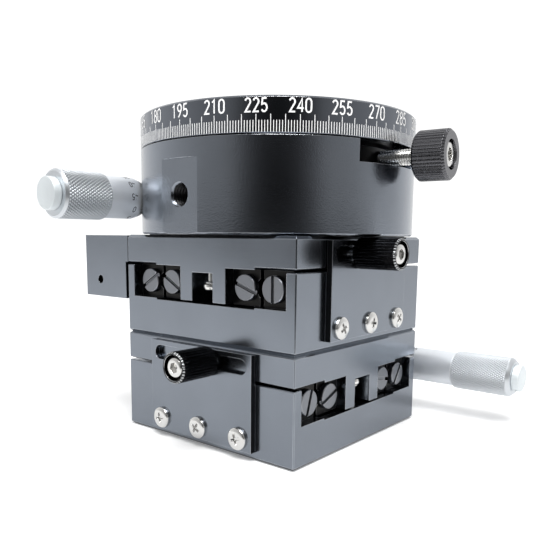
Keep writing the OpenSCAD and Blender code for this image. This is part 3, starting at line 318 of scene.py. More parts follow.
ROUND_SIDES = 48
HEAD_SUNK = 0.0004
OVERCUT = 0.001
STOP_HEAD = 0.0066
STOP_THICK = 0.0015
STOP_RIM = 0.00018
STOP_SLOT = 0.001
STOP_SLOT_DEPTH = 0.0009
STOP_HEIGHT = 0.01485
STOP_END = 0.0271
STOP_INNER = 0.01325
STOP_OUTER = 0.02205
STAGE_RISE = 0.0274
LOWER_STAGE = Matrix.Identity(4)
UPPER_STAGE = Matrix.Translation((0, 0, STAGE_RISE)) @ Matrix.Rotation(math.pi / 2, 4, "Z")


def seat(origin, outward):
    """Frame at origin with z along outward, which is level, and y straight up."""
    y = Vector((0, 0, 1))
    z = Vector(outward).normalized()
    return Matrix.Translation(origin) @ Matrix((y.cross(z), y, z)).transposed().to_4x4()


def on_axis(distance, turn=0.0):
    """Place on a part's own z axis, turned about it."""
    return Matrix.Translation((0, 0, distance)) @ Matrix.Rotation(turn, 4, "Z")


def round_point(radius, turn, level):
    return (radius * math.cos(turn), radius * math.sin(turn), level)


def turned(outline, sides, closed=False):
    """Vertices and faces of a part turned on a lathe, from its (radius, height) outline."""
    vertices, rings, faces = [], [], []
    for radius, height in outline:
        if radius == 0:
            rings.append([len(vertices)])
            vertices.append((0, 0, height))
            continue
        rings.append(range(len(vertices), len(vertices) + sides))
        vertices += [round_point(radius, 2 * math.pi * i / sides, height) for i in range(sides)]
    pairs = list(zip(rings, rings[1:]))
    if closed:
        pairs.append((rings[-1], rings[0]))
    for low, high in pairs:
        for i in range(sides):
            j = (i + 1) % sides
            if len(low) == 1:
                faces.append((low[0], high[j], high[i]))
            elif len(high) == 1:
                faces.append((low[i], low[j], high[0]))
            else:
                faces.append((low[i], low[j], high[j], high[i]))
    return vertices, faces


def finish_mesh(piece, smooth_angle=32):
    """Turns the faces outward and shades them smooth between the sharp edges."""
    shell = bmesh.new()
    shell.from_mesh(piece.data)
    bmesh.ops.recalc_face_normals(shell, faces=shell.faces)
    shell.to_mesh(piece.data)
    shell.free()
    piece.data.shade_smooth()
    piece.data.set_sharp_from_angle(angle=math.radians(smooth_angle))


def settle(piece):
    """Turns a piece and its modifiers into a plain mesh."""
    bpy.context.view_layer.update()
    graph = bpy.context.evaluated_depsgraph_get()
    mesh = bpy.data.meshes.new_from_object(piece.evaluated_get(graph))
    piece.modifiers.clear()
    piece.data = mesh


def cut_away(piece, cutters):
    """Takes the cutters' shapes out of a piece and throws the cutters away."""
    for cutter in cutters:
        cut = piece.modifiers.new("cut", "BOOLEAN")
        cut.operation = "DIFFERENCE"
        cut.solver = "EXACT"
        cut.object = cutter
    settle(piece)
    for cutter in cutters:
        bpy.data.objects.remove(cutter)


def bar(name, low, high, low_end, high_end=None):
    """Straight bar along z from the rectangle low_end to high_end, given as half widths."""
    corners = []
    for level, (wide, deep) in ((low, low_end), (high, high_end or low_end)):
        corners += [(-wide, -deep, level), (wide, -deep, level)]
        corners += [(wide, deep, level), (-wide, deep, level)]
    faces = [(3, 2, 1, 0), (4, 5, 6, 7), (0, 1, 5, 4), (1, 2, 6, 5), (2, 3, 7, 6), (3, 0, 4, 7)]
    return plain_mesh(name, corners, faces)


def new_tree(name, inputs, output):
    """Geometry Nodes tree with {name: kind} inputs and one output, and the sockets of its inputs."""
    tree = bpy.data.node_groups.new(name, "GeometryNodeTree")
    for title, kind in inputs.items():
        tree.interface.new_socket(title, in_out="INPUT", socket_type="NodeSocket" + kind)
    tree.interface.new_socket(output, in_out="OUTPUT", socket_type="NodeSocketGeometry")
    return tree, add_node(tree, "NodeGroupInput").outputs


def end_tree(tree, given, shape):
    """Ends a tree in Realize Instances and Set Material."""
    real = add_node(tree, "GeometryNodeRealizeInstances", {"Geometry": shape})
    values = {"Geometry": real.outputs["Geometry"], "Material": given["Finish"]}
    paint = add_node(tree, "GeometryNodeSetMaterial", values)
    add_node(tree, "NodeGroupOutput", {0: paint.outputs["Geometry"]})
    return tree


def repeat_tree():
    """Stands a pattern piece on every point of a mesh, turned by the attribute called turn."""
    inputs = {"Points": "Geometry", "Pattern": "Object", "Size": "Float", "Finish": "Material"}
    tree, given = new_tree("stand_on_points", inputs, "Pieces")
    pattern = add_node(tree, "GeometryNodeObjectInfo", {"Object": given["Pattern"]})
    turn = add_node(tree, "GeometryNodeInputNamedAttribute", {"Name": "turn"}, data_type="FLOAT_VECTOR")
    values = {
        "Points": given["Points"],
        "Instance": pattern.outputs["Geometry"],
        "Rotation": turn.outputs["Attribute"],
        "Scale": given["Size"],
    }
    stand = add_node(tree, "GeometryNodeInstanceOnPoints", values)
    return end_tree(tree, given, stand.outputs["Instances"])


stand_on_points = repeat_tree()


def feed(piece, tree, values):
    """Adds a node modifier with the named inputs, then turns the result into a plain mesh."""
    grown = piece.modifiers.new("grown", "NODES")
    grown.node_group = tree
    for socket in tree.interface.items_tree:
        if socket.in_out == "INPUT" and socket.name in values:
            grown[socket.identifier] = values[socket.name]
    settle(piece)


def repeated(name, pattern, places, finish):
    """One piece made of a pattern standing at each of the given frames."""
    piece = plain_mesh(name, [place.translation for place in places], [])
    turns = piece.data.attributes.new("turn", "FLOAT_VECTOR", "POINT")
    turns.data.foreach_set("vector", [value for place in places for value in place.to_euler()])
    feed(piece, stand_on_points, {"Pattern": pattern, "Size": 1.0, "Finish": finish})
    bpy.data.objects.remove(pattern)
    finish_mesh(piece)
    return piece


def stand_in(piece, body, slot_name, *replaced):
    """Puts a finished piece on its body in place of the named nodes."""
    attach(piece, body)
    if replaced:
        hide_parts(*replaced)


def stop_head():
    radius = STOP_HEAD / 2
    rim = radius - STOP_RIM
    outline = [(0, -HEAD_SUNK), (rim, -HEAD_SUNK), (rim, 0), (radius, STOP_RIM)]
    outline += [(radius, STOP_THICK - STOP_RIM), (rim, STOP_THICK), (0, STOP_THICK)]
    head = plain_mesh("stop_head", *turned(outline, ROUND_SIDES))
    slot = bar("slot", STOP_THICK - STOP_SLOT_DEPTH, STOP_THICK + OVERCUT, (STOP_HEAD, STOP_SLOT / 2))
    cut_away(head, [slot])
    return head


def stop_places(stage, offset, slots):
    """Frames of four stop screws, with the slots' angles from level, seen from outside."""
    places = []
    for (end, side), slot in slots.items():
        place = seat((end * STOP_END, side * offset, STOP_HEIGHT), (end, 0, 0))
        places.append(stage @ place @ on_axis(0, math.radians(slot)))
    return places


blackened_steel = metal_finish(
    "blackened_steel", (0.22, 0.23, 0.25), (0.85, 0.85, 0.85), 0.34, grain=3000, edge=0.00014
)
lower_outer_slots = {(1, -1): 73, (1, 1): 55, (-1, -1): 20, (-1, 1): -48}
lower_inner_slots = {(1, -1): 22, (1, 1): -10, (-1, -1): -70, (-1, 1): 33}
upper_outer_slots = {(-1, 1): 31, (-1, -1): 90, (1, 1): 12, (1, -1): -35}
upper_inner_slots = {(-1, 1): -30, (-1, -1): -19, (1, 1): 66, (1, -1): 80}
for name, stage, offset, slots, body in (
    ("x_outer_stop_screws", LOWER_STAGE, STOP_OUTER, lower_outer_slots, "base"),
    ("x_inner_stop_screws", LOWER_STAGE, STOP_INNER, lower_inner_slots, "middle"),
    ("y_outer_stop_screws", UPPER_STAGE, STOP_OUTER, upper_outer_slots, "middle"),
    ("y_inner_stop_screws", UPPER_STAGE, STOP_INNER, upper_inner_slots, "top"),
):
    discs = repeated(name + "_slotted", stop_head(), stop_places(stage, offset, slots), blackened_steel)
    stand_in(discs, body, "dark_steel", name)


# The socket screws under the stages and in their tables
# Alloy steel screws with a hexagon socket, blackened. They hold the rails, the blocks, the upper
# stage and the rotation stage, each in its own counterbore.

oxide_steel = metal_finish(
    "oxide_steel", (0.025, 0.025, 0.026), (0.36, 0.36, 0.36), 0.3, grain=2500, edge=0.00012
)
dress(
    ["x_base_cap_screws", "x_table_cap_screws", "y_table_cap_screws", "stack_screws", "r_mount_screws"],
    oxide_steel,
)


# The screws of the clamp plates
# Three nickel plated pan head screws with a cross recess hold each plate by its lower edge.
# The recess is struck in cold, so its wings narrow towards the bottom.

PAN_HEAD = 0.0057
PAN_RISE = 0.0012
PAN_STEP = 0.014
PAN_HEIGHT = 0.0052
PLATE_FACE = 0.0317
WING_SPAN = 0.0033
WING_THICK = 0.00078
WING_DEPTH = 0.0008
WING_BEYOND = 0.0002


def pan_head():
    radius = PAN_HEAD / 2
    outline = [(0, -HEAD_SUNK), (radius * 0.6, -HEAD_SUNK), (radius * 0.6, 0), (radius * 0.97, 0)]
    outline += [(radius, PAN_RISE * 0.1), (radius, PAN_RISE * 0.5)]
    outline += [(radius * 0.96, PAN_RISE * 0.66), (radius * 0.88, PAN_RISE * 0.76)]
    for share in (0.78, 0.56, 0.34, 0.12):
        outline.append((radius * share, PAN_RISE * (1 - 0.2 * share ** 2)))
    outline.append((0, PAN_RISE))
    head = plain_mesh("pan_head", *turned(outline, ROUND_SIDES))
    top = (WING_SPAN / 2, WING_THICK / 2)
    low = (WING_SPAN / 4, WING_THICK / 2.6)
    wings = [bar("wing", PAN_RISE - WING_DEPTH, PAN_RISE + WING_BEYOND, low, top) for _ in range(2)]
    wings[1].matrix_world = Matrix.Rotation(math.pi / 2, 4, "Z")
    cut_away(head, wings)
    return head


nickel_plate = metal_finish("nickel_plate", (0.72, 0.715, 0.7), (0.9, 0.9, 0.9), 0.2, grain=1800, spread=0.05)
for name, stage, turns, body in (
    ("x_clamp_plate_screws", LOWER_STAGE, (12, 58, 20), "base"),
    ("y_clamp_plate_screws", UPPER_STAGE, (30, 80, 50), "middle"),
):
    places = []
    for step, turn in zip((-1, 0, 1), turns):
        place = seat((step * PAN_STEP, -PLATE_FACE, PAN_HEIGHT), (0, -1, 0))
        places.append(stage @ place @ on_axis(0, math.radians(turn)))
    stand_in(repeated(name + "_cross", pan_head(), places, nickel_plate), body, "bright_steel", name)


# The clamp knobs of the linear stages
# Slim aluminium knobs, turned, serrated along their length and anodised black, with a deep
# counterbore that shows the head of the screw inside.

KNOB_THICK = 0.0078
KNOB_LONG = 0.0117
KNOB_RIBS = 28
KNOB_RIB_DEPTH = 0.0003
RIB_FLANK = 0.24
EYE_SHARE = 0.26
KNOB_BEVEL = 0.0004
KNOB_BORE = 0.0063
KNOB_SEAT = 0.00845
KNOB_FACE = 0.0319
KNOB_HEIGHT = 0.0233
X_KNOB_ALONG = 0.0038
Y_KNOB_ALONG = -0.0063
SCREW_HEAD = 0.0051
SCREW_RISE = 0.003
SCREW_KEY = 0.0025
SCREW_KEY_TURN = 0.3
SHANK_LOW = -0.0078
SHANK_TIP = 0.0012
SHANK_RADIUS = 0.0015
SHANK_BEVEL = 0.0004
# Mesh faces across one rib or knurl, and the slack with which faces are picked by their place.
FACETS = 6
HAIR = 0.00001


def groove_tree():
    """Cuts straight, slanting or crossed grooves, or a thread, into the marked rows of a part."""
    inputs = {"Blank": "Geometry", "Grooves": "Float", "Lead": "Float", "Depth": "Float"}
    inputs.update({"Flank": "Float", "Crossed": "Bool", "Finish": "Material"})
    tree, given = new_tree("cut_grooves", inputs, "Part")
    place = add_node(tree, "GeometryNodeInputPosition").outputs["Position"]
    x, y, z = add_node(tree, "ShaderNodeSeparateXYZ", {"Vector": place}).outputs
    round_share = calculate(tree, "MULTIPLY", calculate(tree, "ARCTAN2", y, x), 1 / (2 * math.pi))
    round_count = calculate(tree, "MULTIPLY", round_share, given["Grooves"])
    along = calculate(tree, "MULTIPLY", z, given["Lead"])
    one_way = calculate(tree, "PINGPONG", calculate(tree, "ADD", round_count, along), 0.5)
    other_way = calculate(tree, "PINGPONG", calculate(tree, "SUBTRACT", round_count, along), 0.5)
    both = calculate(tree, "MINIMUM", one_way, other_way)
    values = {"Switch": given["Crossed"], "False": one_way, "True": both}
    choice = add_node(tree, "GeometryNodeSwitch", values, input_type="FLOAT")
    flank = calculate(tree, "DIVIDE", choice.outputs["Output"], given["Flank"])
    height = calculate(tree, "SUBTRACT", calculate(tree, "MINIMUM", flank, 1.0), 1.0)
    marked = add_node(tree, "GeometryNodeInputNamedAttribute", {"Name": "cut"}, data_type="FLOAT")
    full_depth = calculate(tree, "MULTIPLY", height, given["Depth"])
    depth = calculate(tree, "MULTIPLY", full_depth, marked.outputs["Attribute"])
    flat = add_node(tree, "ShaderNodeCombineXYZ", {"X": x, "Y": y})
    outward = add_node(tree, "ShaderNodeVectorMath", {0: flat.outputs["Vector"]}, operation="NORMALIZE")
    values = {0: outward.outputs["Vector"], "Scale": depth}
    shift = add_node(tree, "ShaderNodeVectorMath", values, operation="SCALE")
    values = {"Geometry": given["Blank"], "Offset": shift.outputs["Vector"]}
    move = add_node(tree, "GeometryNodeSetPosition", values)
    return end_tree(tree, given, move.outputs["Geometry"])


cut_grooves = groove_tree()


def grooved(name, outline, sides, grooves, lead, depth, flank, crossed, finish, closed=False):
    """A turned part whose outline rows are (radius, height, 1 where grooves are cut, else 0)."""
    piece = plain_mesh(name, *turned([row[:2] for row in outline], sides, closed))
    marks = [mark for radius, _, mark in outline for _ in range(1 if radius == 0 else sides)]
    cut = piece.data.attributes.new("cut", "FLOAT", "POINT")
    cut.data.foreach_set("value", [float(mark) for mark in marks])
    values = {"Grooves": float(grooves), "Lead": float(lead), "Depth": depth, "Flank": flank}
    feed(piece, cut_grooves, {**values, "Crossed": crossed, "Finish": finish})
    finish_mesh(piece)
    return piece


def rows(radius, low, high, count):
    """Evenly spaced grooved rows of a straight stretch."""
    return [(radius, low + (high - low) * i / count, 1) for i in range(count + 1)]


def serrated_knob(name, thick, long, ribs, rib_depth, bevel, bore, seat_height, finish, cut):
    """Knob with straight ribs, an eye for the screw's shank and a wide bore down to its seat."""
    radius = thick / 2
    eye = bore * EYE_SHARE
    outline = [(eye, 0, 0), (radius - bevel, 0, 0)] + rows(radius, bevel, long - bevel, 4)
    outline += [(radius - bevel, long, 0), (bore / 2 + 0.0001, long, 0), (bore / 2, long - 0.0001, 0)]
    outline += [(bore / 2, seat_height, 0), (eye, seat_height, 0)]
    knob = grooved(name, outline, ribs * FACETS, ribs, 0, rib_depth, RIB_FLANK, False, finish, closed=True)
    # The chamfer faces at the outer end take the second finish, on the black knobs a painted highlight.
    knob.data.materials.append(cut)
    for face in knob.data.polygons:
        if long - bevel < face.center.z < long - HAIR and face.normal.z > 0.5:
            face.material_index = 1
    return knob


def plain_finish(piece, finish):
    """Gives a piece one finish all over and shades it."""
    piece.data.materials.clear()
    piece.data.materials.append(finish)
    finish_mesh(piece)


def socket_head(name, thick, rise, key, finish):
    """Plain round head of a screw, with a bevelled rim and a hexagon socket."""
    radius = thick / 2
    outline = [(0, 0), (radius, 0), (radius, rise - 0.0004)]
    outline += [(radius - 0.00025, rise - 0.0001), (radius - 0.0005, rise), (0, rise)]
    head = plain_mesh(name, *turned(outline, ROUND_SIDES))
    across = key / math.sqrt(3)
    hexagon = [(0, rise * 0.35), (across * 0.9, rise * 0.45), (across, rise + OVERCUT), (0, rise + OVERCUT)]
    cut_away(head, [plain_mesh("hexagon", *turned(hexagon, 6))])
    plain_finish(head, finish)
    return head


def placed(piece, place):
    """Moves a finished mesh to its place, so that the piece itself stays at the origin."""
    piece.data.transform(place)
    return piece


knob_black = metal_finish(
    "knob_black", (0.008, 0.008, 0.009), (0.3, 0.3, 0.31), 0.2, grain=2500, spread=0.04, edge=0.00005
)
# The chamfer at a black knob's outer end is painted light grey, a painted highlight for the light ticks along
# its rim.
rim_highlight_paint = metal_finish(
    "rim_highlight_paint", (0.42, 0.43, 0.44), (0.5, 0.5, 0.5), 0.25, grain=2500, spread=0.05, edge=0.00003
)
sizes = (KNOB_THICK, KNOB_LONG, KNOB_RIBS, KNOB_RIB_DEPTH, KNOB_BEVEL, KNOB_BORE, KNOB_SEAT)
shank_outline = [(0, SHANK_LOW), (SHANK_TIP, SHANK_LOW), (SHANK_RADIUS, SHANK_LOW + SHANK_BEVEL)]
shank_outline += [(SHANK_RADIUS, KNOB_SEAT), (0, KNOB_SEAT)]
for side, stage, along in (("x", LOWER_STAGE, X_KNOB_ALONG), ("y", UPPER_STAGE, Y_KNOB_ALONG)):
    place = stage @ seat((along, -KNOB_FACE, KNOB_HEIGHT), (0, -1, 0))
    knob = placed(serrated_knob(side + "_knob_serrated", *sizes, knob_black, rim_highlight_paint), place)
    stand_in(knob, side + "_clamp", "black_anodised", side + "_clamp_knob")
    head = socket_head(side + "_knob_screw_head", SCREW_HEAD, SCREW_RISE, SCREW_KEY, nickel_plate)
    placed(head, place @ on_axis(KNOB_SEAT, SCREW_KEY_TURN))
    stand_in(head, side + "_clamp", "bright_steel", side + "_clamp_screw")
    shank = plain_mesh(side + "_knob_screw_shank", *turned(shank_outline, 32))
    plain_finish(placed(shank, place), nickel_plate)
    stand_in(shank, side + "_clamp", "bright_steel")


# The spring pins and the return springs
# A tension spring of music wire hooks over a turned steel pin in the base and one in the table,
# and pulls the table's anvil against the micrometer. It lies in the slot under the table.

PIN_PLACE = 0.0265
SPRING_HEIGHT = 0.015286
HOOK_RADIUS = 0.00145
COIL_RADIUS = 0.00195
SPRING_WIRE = 0.0007
SPRING_CURLS = 22
HOOK_REACH = 0.0046


def wire_tree():
    """Draws a round wire along a route of edges."""
    inputs = {"Route": "Geometry", "Thickness": "Float", "Sides": "Int", "Finish": "Material"}
    tree, given = new_tree("draw_wire", inputs, "Wire")
    radius = calculate(tree, "MULTIPLY", given["Thickness"], 0.5)
    values = {"Resolution": given["Sides"], "Radius": radius}
    circle = add_node(tree, "GeometryNodeCurvePrimitiveCircle", values)
    path = add_node(tree, "GeometryNodeMeshToCurve", {"Mesh": given["Route"]})
    values = {"Curve": path.outputs["Curve"], "Profile Curve": circle.outputs["Curve"], "Fill Caps": True}
    draw = add_node(tree, "GeometryNodeCurveToMesh", values)
    return end_tree(tree, given, draw.outputs["Mesh"])


draw_wire = wire_tree()


def wire_piece(name, route, thickness, sides, finish):
    piece = plain_mesh(name, route, [], [(i, i + 1) for i in range(len(route) - 1)])
    feed(piece, draw_wire, {"Thickness": thickness, "Sides": sides, "Finish": finish})
    finish_mesh(piece, 60)
    return piece


def spring_route():
    """Hook, curls and hook of a return spring, in a stage's own frame."""
    half = []
    for i in range(25):
        x, y, z = round_point(HOOK_RADIUS, math.radians(60 + 10 * i), SPRING_HEIGHT)
        half.append((x - PIN_PLACE, y, z))
    half.append((1.7 * HOOK_RADIUS - PIN_PLACE, -HOOK_RADIUS * 0.3, SPRING_HEIGHT))
    x = 2.5 * HOOK_RADIUS - PIN_PLACE
    half.append((x, COIL_RADIUS * 0.55, SPRING_HEIGHT - COIL_RADIUS * 0.3))
    span = 2 * (PIN_PLACE - HOOK_REACH)
    curls = []
    for i in range(24 * SPRING_CURLS + 1):
        angle = 2 * math.pi * i / 24
        x = span * (i / (24 * SPRING_CURLS) - 0.5)
        curls.append((x, COIL_RADIUS * math.cos(angle), SPRING_HEIGHT + COIL_RADIUS * math.sin(angle)))
    return half + curls + [(-x, y, z) for x, y, z in reversed(half)]


music_wire = metal_finish("music_wire", (0.6, 0.6, 0.59), (0.8, 0.8, 0.8), 0.24, grain=2500, spread=0.05)
pin_steel = metal_finish("pin_steel", (0.78, 0.78, 0.76), (0.9, 0.9, 0.9), 0.22, grain=2500, spread=0.05)
dress(["x_base_spring_pin", "middle_spring_pins", "y_table_spring_pin"], pin_steel)
for side, stage, moving, fixed in (("x", LOWER_STAGE, "middle", "base"), ("y", UPPER_STAGE, "top", "middle")):
    wire = wire_piece(side + "_spring_wire", spring_route(), SPRING_WIRE, 10, music_wire)
    placed(wire, stage)
    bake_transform(wire)
    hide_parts(side + "_return_spring")


# The micrometer heads of the linear stages
# A satin chromed sleeve in the split bracket, engraved with a line and half millimetre marks, and
# a thimble with fifty marks on its bevel, a diamond knurl and a pressed end cap.

MIC_AXIS = (0.0431, 0.0142)
MIC_BEVEL_PLACE = 0.020
KNURL_DEPTH = 0.00027
KNURL_FLANK = 0.5
PIN_HOLE_RADIUS = 0.0006
THIMBLE_MARKS = 50
LONG_EVERY = 5
MARK_FOOT = 0.0001
MARK_SHORT = 0.0013
MARK_LONG = 0.0019
MARK_RISE = 0.00006
PAINT_LIFT = 0.00002
# The radii are those of the bevel's edge, the smooth part and the knurl. The steps are the levels
# at which the bevel, the smooth part, the knurl and the ring behind it end.
linear_head = SimpleNamespace(
    bore=0.0082,
    bore_depth=0.023,
    radii=(0.0044, 0.0052, 0.0058),
    steps=(0.0035, 0.0181, 0.0346, 0.0359),
    end_slope=0.00091,
    knurls=54,
    knurl_rows=82,
    zero_turn=0.0,
    mark_width=0.00011,
    figure_height=0.0014,
    figure_pen=0.15,
    figure_gap=0.0001,
    cap_thick=0.0078,
    cap_long=0.0021,
    hole_turn=math.radians(-115),
)

chrome_wear_and_highlight = (0.97, 0.97, 0.97)
satin_chrome = metal_finish(
    "satin_chrome", (0.84, 0.88, 0.9), chrome_wear_and_highlight, 0.7, grain=3500, spread=0.05, edge=0.00012
)
drum_chrome = metal_finish(
    "drum_chrome", (0.8, 0.83, 0.87), chrome_wear_and_highlight, 0.45,
    grain=3500, spread=0.05, edge=0.00012, metallic=0.68,
)
knurl_chrome = metal_finish(
    "knurl_chrome", (0.66, 0.69, 0.72), (0.95, 0.95, 0.95), 0.4, grain=3500, spread=0.05, edge=0.00003
)


def thimble(name, head):
    """Thimble with a bevelled edge, a smooth part, a diamond knurl and a chamfered ring."""
    bore = head.bore / 2
    bevel, smooth, knurl = head.radii
    bevel_top, knurl_foot, knurl_top, ring_top = head.steps
    relief = knurl - smooth
    low = knurl_foot + relief * 0.6
    end = knurl - head.end_slope
    outline = [(0, head.bore_depth, 0), (bore, head.bore_depth, 0), (bore, 0.0001, 0)]
    outline += [(bore + 0.0001, 0, 0), (bevel - 0.00005, 0, 0), (bevel, 0.00005, 0)]
    outline += [(smooth, bevel_top, 0), (smooth, knurl_foot - 0.0002, 0)]
    outline += [(smooth - 0.00015, knurl_foot - 0.0002, 0), (smooth - 0.00015, knurl_foot, 0)]
    outline.append((knurl - 0.0002, knurl_foot + relief * 0.4, 0))
    outline += rows(knurl, low, knurl_top, head.knurl_rows)
    outline += [(knurl - 0.0002, knurl_top + 0.0001, 0), (knurl - 0.00005, knurl_top + 0.0002, 0)]
    outline += [(knurl - 0.0001, knurl_top + 0.0003, 0), (end, ring_top - 0.0001, 0)]
    outline += [(end - 0.0001, ring_top, 0), (0, ring_top, 0)]
    lead = 1 / ((knurl_top - low) / head.knurl_rows * FACETS)
    sides = head.knurls * FACETS
    drum = grooved(name, outline, sides, head.knurls, lead, KNURL_DEPTH, KNURL_FLANK, True, knurl_chrome)
    drum.data.materials.append(drum_chrome)
    for face in drum.data.polygons:
        if face.center.z < knurl_foot:
            face.material_index = 1
    return drum


def end_cap(name, head):
    """Pressed round cap with a bevelled edge and, in its side, a hole for a pin wrench."""
    radius = head.cap_thick / 2
    long = head.cap_long
    outline = [(0, -0.0002), (radius - 0.0002, -0.0002), (radius - 0.0002, 0), (radius, 0.0001)]
    outline += [(radius, long - 0.0003), (radius - 0.0001, long - 0.0001), (radius - 0.0003, long), (0, long)]
    cap = plain_mesh(name, *turned(outline, 64))
    hole = [(0, radius * 0.5), (PIN_HOLE_RADIUS, radius * 0.58)]
    hole += [(PIN_HOLE_RADIUS, radius + OVERCUT), (0, radius + OVERCUT)]
    drill = plain_mesh("drill", *turned(hole, 24))
    placed(drill, on_axis(long / 2, head.hole_turn) @ Matrix.Rotation(math.pi / 2, 4, "Y"))
    cut_away(cap, [drill])
    plain_finish(cap, satin_chrome)
    return cap


def mark_tree():
    """Fills a ring of engraved marks, every so many of them longer, on a cylinder or a cone."""
    inputs = {"Blank": "Geometry", "Count": "Int", "Every": "Int"}
    for name in ("Radius", "Foot", "Short", "Long", "Width", "Rise", "Lean", "Start"):
        inputs[name] = "Float"
    tree, given = new_tree("ring_of_marks", {**inputs, "Finish": "Material"}, "Marks")
    points = add_node(tree, "GeometryNodeMeshLine", {"Count": given["Count"]})
    index = add_node(tree, "GeometryNodeInputIndex").outputs["Index"]
    share = calculate(tree, "DIVIDE", index, given["Count"])
    turn = calculate(tree, "ADD", calculate(tree, "MULTIPLY", share, 2 * math.pi), given["Start"])
    x = calculate(tree, "MULTIPLY", calculate(tree, "COSINE", turn), given["Radius"])
    y = calculate(tree, "MULTIPLY", calculate(tree, "SINE", turn), given["Radius"])
    where = add_node(tree, "ShaderNodeCombineXYZ", {"X": x, "Y": y, "Z": given["Foot"]})
    values = {"Geometry": points.outputs["Mesh"], "Position": where.outputs["Vector"]}
    spread = add_node(tree, "GeometryNodeSetPosition", values)
    is_long = calculate(tree, "LESS_THAN", calculate(tree, "MODULO", index, given["Every"]), 0.5)
    longer = calculate(tree, "SUBTRACT", given["Long"], given["Short"])
    length = calculate(tree, "ADD", given["Short"], calculate(tree, "MULTIPLY", longer, is_long))
    cube = add_node(tree, "GeometryNodeMeshCube")
    values = {"Geometry": cube.outputs["Mesh"], "Translation": (0, 0, 0.5)}
    mark = add_node(tree, "GeometryNodeTransform", values)
    scale = add_node(tree, "ShaderNodeCombineXYZ", {"X": given["Rise"], "Y": given["Width"], "Z": length})
    rotation = add_node(tree, "ShaderNodeCombineXYZ", {"Y": given["Lean"], "Z": turn})
    values = {
        "Points": spread.outputs["Geometry"],
        "Instance": mark.outputs["Geometry"],
        "Rotation": rotation.outputs["Vector"],
        "Scale": scale.outputs["Vector"],
    }
    stand = add_node(tree, "GeometryNodeInstanceOnPoints", values)
    return end_tree(tree, given, stand.outputs["Instances"])


ring_of_marks = mark_tree()


def ring_marks(name, count, every, radius, foot, short, long, width, lean, start, finish):
    piece = plain_mesh(name, [], [])
    values = {"Count": count, "Every": every, "Radius": radius, "Foot": foot, "Short": short, "Long": long}
    values.update({"Width": width, "Rise": MARK_RISE, "Lean": lean, "Start": start, "Finish": finish})
    feed(piece, ring_of_marks, values)
    return piece


def arc(cx, cy, rx, ry, start, end, count=9):
    """Points on an ellipse, with angles in degrees, anticlockwise from the right."""
    step = (end - start) / count
    turns = [math.radians(start + step * i) for i in range(count + 1)]
    return [(cx + rx * math.cos(t), cy + ry * math.sin(t)) for t in turns]


# Pen strokes of the figures, each one unit high and about half a unit wide.
FIGURES = {
    "0": [arc(0.23, 0.73, 0.2, 0.24, 0, 180) + arc(0.23, 0.27, 0.2, 0.24, 180, 360) + [(0.43, 0.73)]],
    "1": [[(0.08, 0.8), (0.24, 0.97), (0.24, 0.03)]],
    "2": [arc(0.23, 0.74, 0.19, 0.23, 165, -30) + [(0.05, 0.04), (0.44, 0.04)]],
    "3": [arc(0.22, 0.75, 0.19, 0.22, 160, -90), arc(0.22, 0.28, 0.21, 0.25, 90, -160)],
    "4": [[(0.34, 0.03), (0.34, 0.96), (0.03, 0.3), (0.46, 0.3)]],
    "5": [[(0.4, 0.96), (0.1, 0.96), (0.06, 0.54)] + arc(0.22, 0.32, 0.2, 0.28, 125, -150, 12)],
    "6": [[(0.36, 0.97), (0.1, 0.5)] + arc(0.23, 0.28, 0.2, 0.25, 160, 520, 16)],
    "7": [[(0.04, 0.96), (0.43, 0.96), (0.16, 0.03)]],
    "8": [arc(0.23, 0.75, 0.17, 0.21, 0, 360, 16), arc(0.23, 0.28, 0.2, 0.25, 0, 360, 16)],
    "9": [arc(0.23, 0.72, 0.2, 0.25, 0, 360, 16), [(0.43, 0.68), (0.34, 0.4), (0.12, 0.03)]],
}
FIGURE_STEP = 0.6
FIGURE_GAP = 0.14


def stroke_faces(points, pen, vertices, faces):
    """Flat ribbon of the pen's width along a stroke, with mitred corners."""
    first = len(vertices)
    for i, point in enumerate(points):
        before = Vector(points[max(i - 1, 0)])
        after = Vector(points[min(i + 1, len(points) - 1)])
        here = Vector(point)
        into = (here - before).normalized() if i else (after - here).normalized()
        out = (after - here).normalized() if i < len(points) - 1 else into
        along = (into + out).normalized() if (into + out).length > 0.01 else into
        across = Vector((-along.y, along.x))
        reach = pen / 2 / max(0.5, abs(across.dot(Vector((-into.y, into.x)))))
        vertices += [tuple(here - across * reach), tuple(here + across * reach)]
    for i in range(len(points) - 1):
        a = first + 2 * i
        faces.append((a, a + 2, a + 3, a + 1))


def text_width(text):
    return FIGURE_STEP * len(text) - FIGURE_GAP


def figure_shape(text, pen):
    """Flat figures, one unit high, centred on x."""
    vertices, faces = [], []
    start = -text_width(text) / 2
    for place, figure in enumerate(text):
        for stroke in FIGURES[figure]:
            moved = [(x + place * FIGURE_STEP + start, y) for x, y in stroke]
            stroke_faces(moved, pen, vertices, faces)
    return vertices, faces


def figures_round(name, marks, height, pen, radius, foot, finish, along_axis=False):
    """Figures wrapped round a cylinder on z: marks is a list of (text, angle)."""
    vertices, faces = [], []
    for text, angle in marks:
        flat, quads = figure_shape(text, pen)
        first = len(vertices)
        middle = foot + text_width(text) * height / 2
        for x, y in flat:
            if along_axis:
                turn, level = angle + (0.5 - y) * height / radius, middle + x * height
            else:
                turn, level = angle + x * height / radius, foot + y * height
            vertices.append(round_point(radius, turn, level))
        faces += [tuple(first + i for i in quad) for quad in quads]
    piece = plain_mesh(name, vertices, faces)
    piece.data.materials.append(finish)
    return piece


